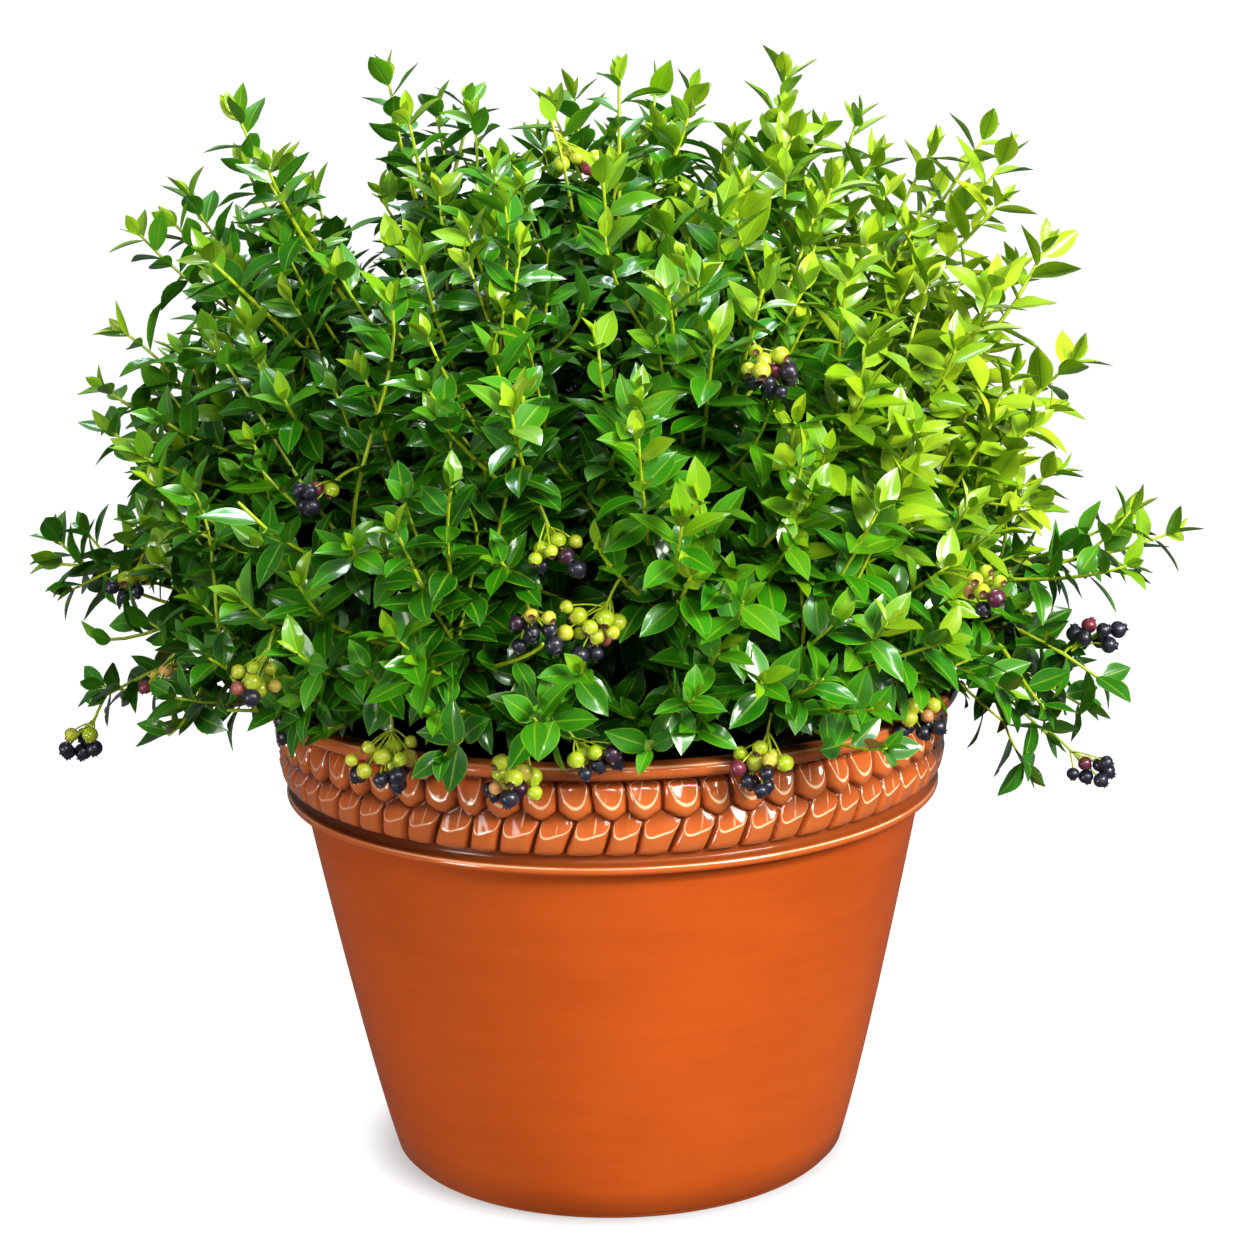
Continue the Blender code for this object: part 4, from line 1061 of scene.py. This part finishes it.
def berry_points(centre, axis, radius):
    """Berries: spheres a little flattened along the axis, whose far end rises in a five-pointed
    calyx ring and dips inside it.
    """
    tilt = np.linspace(0.28, 2.62, 7)
    reach = np.concatenate([np.sin(tilt), CALYX[:, 0]])
    drop = np.concatenate([-BERRY_FLATNESS * np.cos(tilt), CALYX[:, 1]])
    rows = len(reach)
    turn = full_turn(BERRY_COLUMNS)
    star = np.zeros((rows, BERRY_COLUMNS))
    star[len(tilt) + 1] = 0.10 * np.cos(5.0 * turn)
    first = unit(np.cross(axis, np.array([0.37, 0.22, 0.90])))
    second = np.cross(axis, first)
    ring = first[:, None] * np.cos(turn)[:, None] + second[:, None] * np.sin(turn)[:, None]
    wide = reach[:, None] + star
    tall = drop[:, None] + 0.8 * star
    size = radius[:, None, None, None]
    wall = (centre[:, None, None] + size * (ring[:, None] * wide[..., None]
                                            + axis[:, None, None] * tall[..., None]))
    count = len(centre)
    poles = np.stack([centre - 0.90 * axis * radius[:, None], centre + 0.82 * axis * radius[:, None]], 1)
    points = np.concatenate([wall.reshape(count, -1, 3), poles], 1)
    eye = np.repeat(np.concatenate([0.0 * tilt, CALYX[:, 2]]), BERRY_COLUMNS)
    eye = np.concatenate([eye, [0.0, 1.0]])
    quads, ends = tube_faces(rows, BERRY_COLUMNS)
    stride = rows * BERRY_COLUMNS + 2
    faces = repeated(quads, count, stride) + repeated(ends, count, stride)
    return points, faces, np.broadcast_to(eye, (count, stride)), stride


def spread_apart(places, least):
    """Push points apart until no two are closer than least."""
    for _ in range(PUSH_ROUNDS):
        gap = places[:, None] - places[None]
        far = np.linalg.norm(gap, axis=-1) + np.eye(len(places))
        push = np.clip(least - far, 0.0, None) * (1.0 - np.eye(len(places)))
        places = places + 0.35 * (gap / far[..., None] * push[..., None]).sum(1)
    return places


def make_cluster(number, anchors, skin, stem):
    """One cluster: berries packed round the end of a stalk, each on its own pedicel."""
    node = f"berries_{number:02d}"
    place, count, ripe_share, looseness = CLUSTERS[number - 1]
    middle = np.array(place)
    draw = np.random.default_rng(FRUIT_SEED + number)
    hook = middle + 0.016 * UP - 0.008 * unit(middle * (1.0, 1.0, 0.0))
    anchor = anchors[np.argmin(np.linalg.norm(anchors - hook, axis=1))]
    way = unit(middle - anchor)
    reach = BERRY_RADIUS * (count / BERRY_PACKING) ** (1.0 / 3.0) * looseness
    spread = unit(draw.normal(0.0, 1.0, (count, 3))) * draw.uniform(0.3, 1.0, (count, 1)) * reach
    places = middle + spread * (1.15, 0.8, 0.85) + way * 0.003
    radius = BERRY_RADIUS * draw.uniform(0.80, 1.14, count)
    places = spread_apart(places, BERRY_GAP)
    hub = middle - way * HUB_SETBACK
    axis = unit(unit(places - hub) + 0.25 * way - 0.25 * UP + draw.normal(0.0, 0.2, (count, 3)))
    rank = np.argsort(np.argsort(places @ (UP - 0.5 * way))) / max(1, count - 1)
    ripeness = np.clip((ripe_share - rank) * 6.0 + 0.5, 0.0, 1.0)
    ripeness = np.clip(ripeness + np.abs(draw.normal(0.0, 0.13, count)) * (1.0 - ripeness), 0.0, 1.0)
    points, faces, eye, stride = berry_points(places, axis, radius)
    rows = {"eye": eye, "ripeness": np.repeat(ripeness[:, None], stride, 1)}
    make_piece(node + "_fruit", points, faces, skin, [node], rows)
    tops = places - 0.9 * axis * radius[:, None]
    hubs = np.repeat(hub[None], count, 0) - way * draw.uniform(0.0, 0.006, (count, 1))
    bend = np.stack([hubs, hubs + 0.4 * (tops - hubs) + 0.002 * UP,
                     tops - 0.3 * axis * radius[:, None], tops], 1)
    stalk = np.stack([anchor, anchor + 0.35 * (hub - anchor) + 0.004 * UP,
                      anchor + 0.7 * (hub - anchor) + 0.002 * UP, hub + way * 0.004])[None]
    controls = np.concatenate([bend, stalk])
    thick = np.append(np.full(count, PEDICEL_RADIUS), STALK_RADIUS)
    make_stems(node + "_stalks", controls, thick, 0.9 * thick, np.full(count + 1, 0.9), stem, [node])


# ---------------------------------------------------------------- the bush

def make_bush(leaf, stem, skin):
    """Grow every branch: its cane and two twigs, and the shoots that leave its cane to fill the dome."""
    tips, ways = branch_tips()
    canes = cane_controls(tips, ways)
    twigs, twig_owner = twig_controls(canes, tips, ways)
    sets = [canes, twigs]
    owners = [np.arange(BRANCHES), twig_owner]
    skyline = np.array([place for place, _ in SKYLINE])
    pitch = np.radians([angle for _, angle in SKYLINE])
    out = np.arctan2(skyline[:, 1] - BUSH_CENTRE[1], skyline[:, 0] - BUSH_CENTRE[0])
    fills = [(skyline, around_z(np.cos(pitch), out, np.sin(pitch)), 1.0),
             (*fill_tips(*OUTER_SHOOTS), 1.0),
             (*fill_tips(*MIDDLE_SHOOTS), 0.8),
             (*rim_tips(), 0.6),
             (*fill_tips(*INNER_SHOOTS), 0.65)]
    for number, (places, headings, length) in enumerate(fills):
        grown, owner = fill_controls(canes, places, headings, length * SHOOT_LENGTH, FILL_SEED + number)
        path = bezier(grown, np.linspace(0.5, 1.0, 6))
        clear = (clear_of_notches(path) & clear_of_fruit(path)).all(1)
        sets.append(grown[clear])
        owners.append(owner[clear])
    kinds = [len(group) for group in sets]
    controls = np.concatenate(sets)
    owner = np.concatenate(owners)
    controls[:, 3] -= TIP_OVERHANG * unit(controls[:, 3] - controls[:, 2])
    start, end, young, share, older = (np.repeat(row, kinds) for row in SHOOT_KINDS)
    height = (controls[:, 3, 2] - BUSH_CENTRE[2]) / BUSH_RISE
    draw = np.random.default_rng(MATURITY_SEED)
    maturity = 0.28 - 0.28 * np.maximum(height, 0.0) - 1.1 * np.minimum(height, 0.0)
    maturity = np.clip(maturity + draw.normal(0.0, 0.12, len(controls)), 0.0, 0.75) + older
    size = draw.uniform(0.88, 1.1, len(controls))
    seats = seat_leaves(controls, SEAT_SEED, share, maturity, size)
    leaf_owner = owner[seats["shoot"]]
    for branch in range(BRANCHES):
        node = f"branch_{branch + 1:02d}"
        mine = owner == branch
        make_stems(node + "_stems", controls[mine], start[mine], end[mine], young[mine], stem, [node])
        own = {key: rows[leaf_owner == branch] for key, rows in seats.items()}
        make_leaves(node + "_leaves", own, LEAF_SEED + branch, leaf, [node])
    anchors = bezier(controls, np.linspace(0.1, 0.95, 18)).reshape(-1, 3)
    for number in range(1, len(CLUSTERS) + 1):
        make_cluster(number, anchors, skin, stem)


# ---------------------------------------------------------------- studio

def backdrop(name, points, faces, finish):
    """An object of the given faces, for the studio's set."""
    mesh = bpy.data.meshes.new(name)
    mesh.from_pydata(points.tolist(), [], faces)
    mesh.materials.append(finish)
    thing = bpy.data.objects.new(name, mesh)
    bpy.context.scene.collection.objects.link(thing)
    return thing


def softbox(name, place, width, height, power, colour, aim_height, spread):
    """A rectangular area light aimed at a height on the object's axis."""
    lamp = bpy.data.lights.new(name, "AREA")
    lamp.shape = "RECTANGLE"
    lamp.size = width
    lamp.size_y = height
    lamp.energy = power
    lamp.color = colour
    lamp.spread = math.radians(spread)
    light = bpy.data.objects.new(name, lamp)
    bpy.context.scene.collection.objects.link(light)
    light.location = place
    aim = np.array([0.0, 0.0, aim_height]) - np.array(place)
    light.rotation_euler = vector_angles(aim)


def vector_angles(aim):
    """Euler angles that turn an object's -Z axis along a vector, with its Y axis upwards."""
    flat = math.hypot(aim[0], aim[1])
    return (math.atan2(flat, -aim[2]), 0.0, math.atan2(-aim[0], aim[1]))


def make_studio():
    """White floor and surroundings, a key light from the right front, and the camera."""
    scene = bpy.context.scene
    scene.view_settings.view_transform = "Standard"
    world = bpy.data.worlds.new("studio")
    world.use_nodes = True
    background = world.node_tree.nodes["Background"]
    background.inputs["Color"].default_value = (0.92, 0.96, 1.0, 1.0)
    background.inputs["Strength"].default_value = 0.15
    scene.world = world
    white = Finish("white_paper", Base_Color=(0.12, 0.12, 0.12, 1.0), Roughness=1.0,
                   Specular_IOR_Level=0.0, Emission_Strength=1.0)
    # A painted contact shadow on the floor: a grey disc under the pot that fades out to white.
    away = white.place.node("ShaderNodeVectorMath", {"operation": "ADD"}, {0: white.place, 1: SHADOW_SHIFT})
    across = white.place.node("ShaderNodeVectorMath", {"operation": "LENGTH"}, {0: away}, output=1)
    unshadowed = across.step(SHADOW_RADIUS, SHADOW_END) ** 0.8
    white.feed(Emission_Color=unshadowed.blend((0.50, 0.48, 0.47), WHITE))
    turn = full_turn(STUDIO_COLUMNS)
    floor = backdrop("floor", around_z(FLOOR_REACH, turn, 0.0), [list(range(STUDIO_COLUMNS))], white.material)
    floor.visible_diffuse = False
    floor.visible_glossy = False
    glow = Finish("white_backdrop", Base_Color=colour_of(BLACK), Specular_IOR_Level=0.0,
                  Emission_Color=colour_of(WHITE), Emission_Strength=1.05)
    tilt = np.linspace(0.02, math.pi - 0.02, STUDIO_ROWS)[:, None]
    shell = 2.0 * FLOOR_REACH * around_z(np.sin(tilt), turn, np.cos(tilt)).reshape(-1, 3)
    dome = backdrop("backdrop", shell, grid_faces(STUDIO_ROWS, STUDIO_COLUMNS).tolist(), glow.material)
    for ray in ("visible_diffuse", "visible_glossy", "visible_transmission", "visible_shadow"):
        setattr(dome, ray, False)
    for lamp in LAMPS:
        softbox(*lamp)
    data = bpy.data.cameras.new("camera")
    data.lens = CAMERA_LENS
    data.sensor_width = CAMERA_FILM
    camera = bpy.data.objects.new("camera", data)
    scene.collection.objects.link(camera)
    camera.location = CAMERA_PLACE
    camera.rotation_euler = (CAMERA_PITCH, 0.0, 0.0)
    camera.rotation_euler.rotate_axis("Z", CAMERA_ROLL)
    scene.camera = camera


glaze = glaze_finish()
make_pot(glaze)
make_band(glaze)
make_soil(soil_finish())
make_crown(bark_finish())
make_bush(leaf_finish(), stem_finish(), berry_finish())
make_studio()
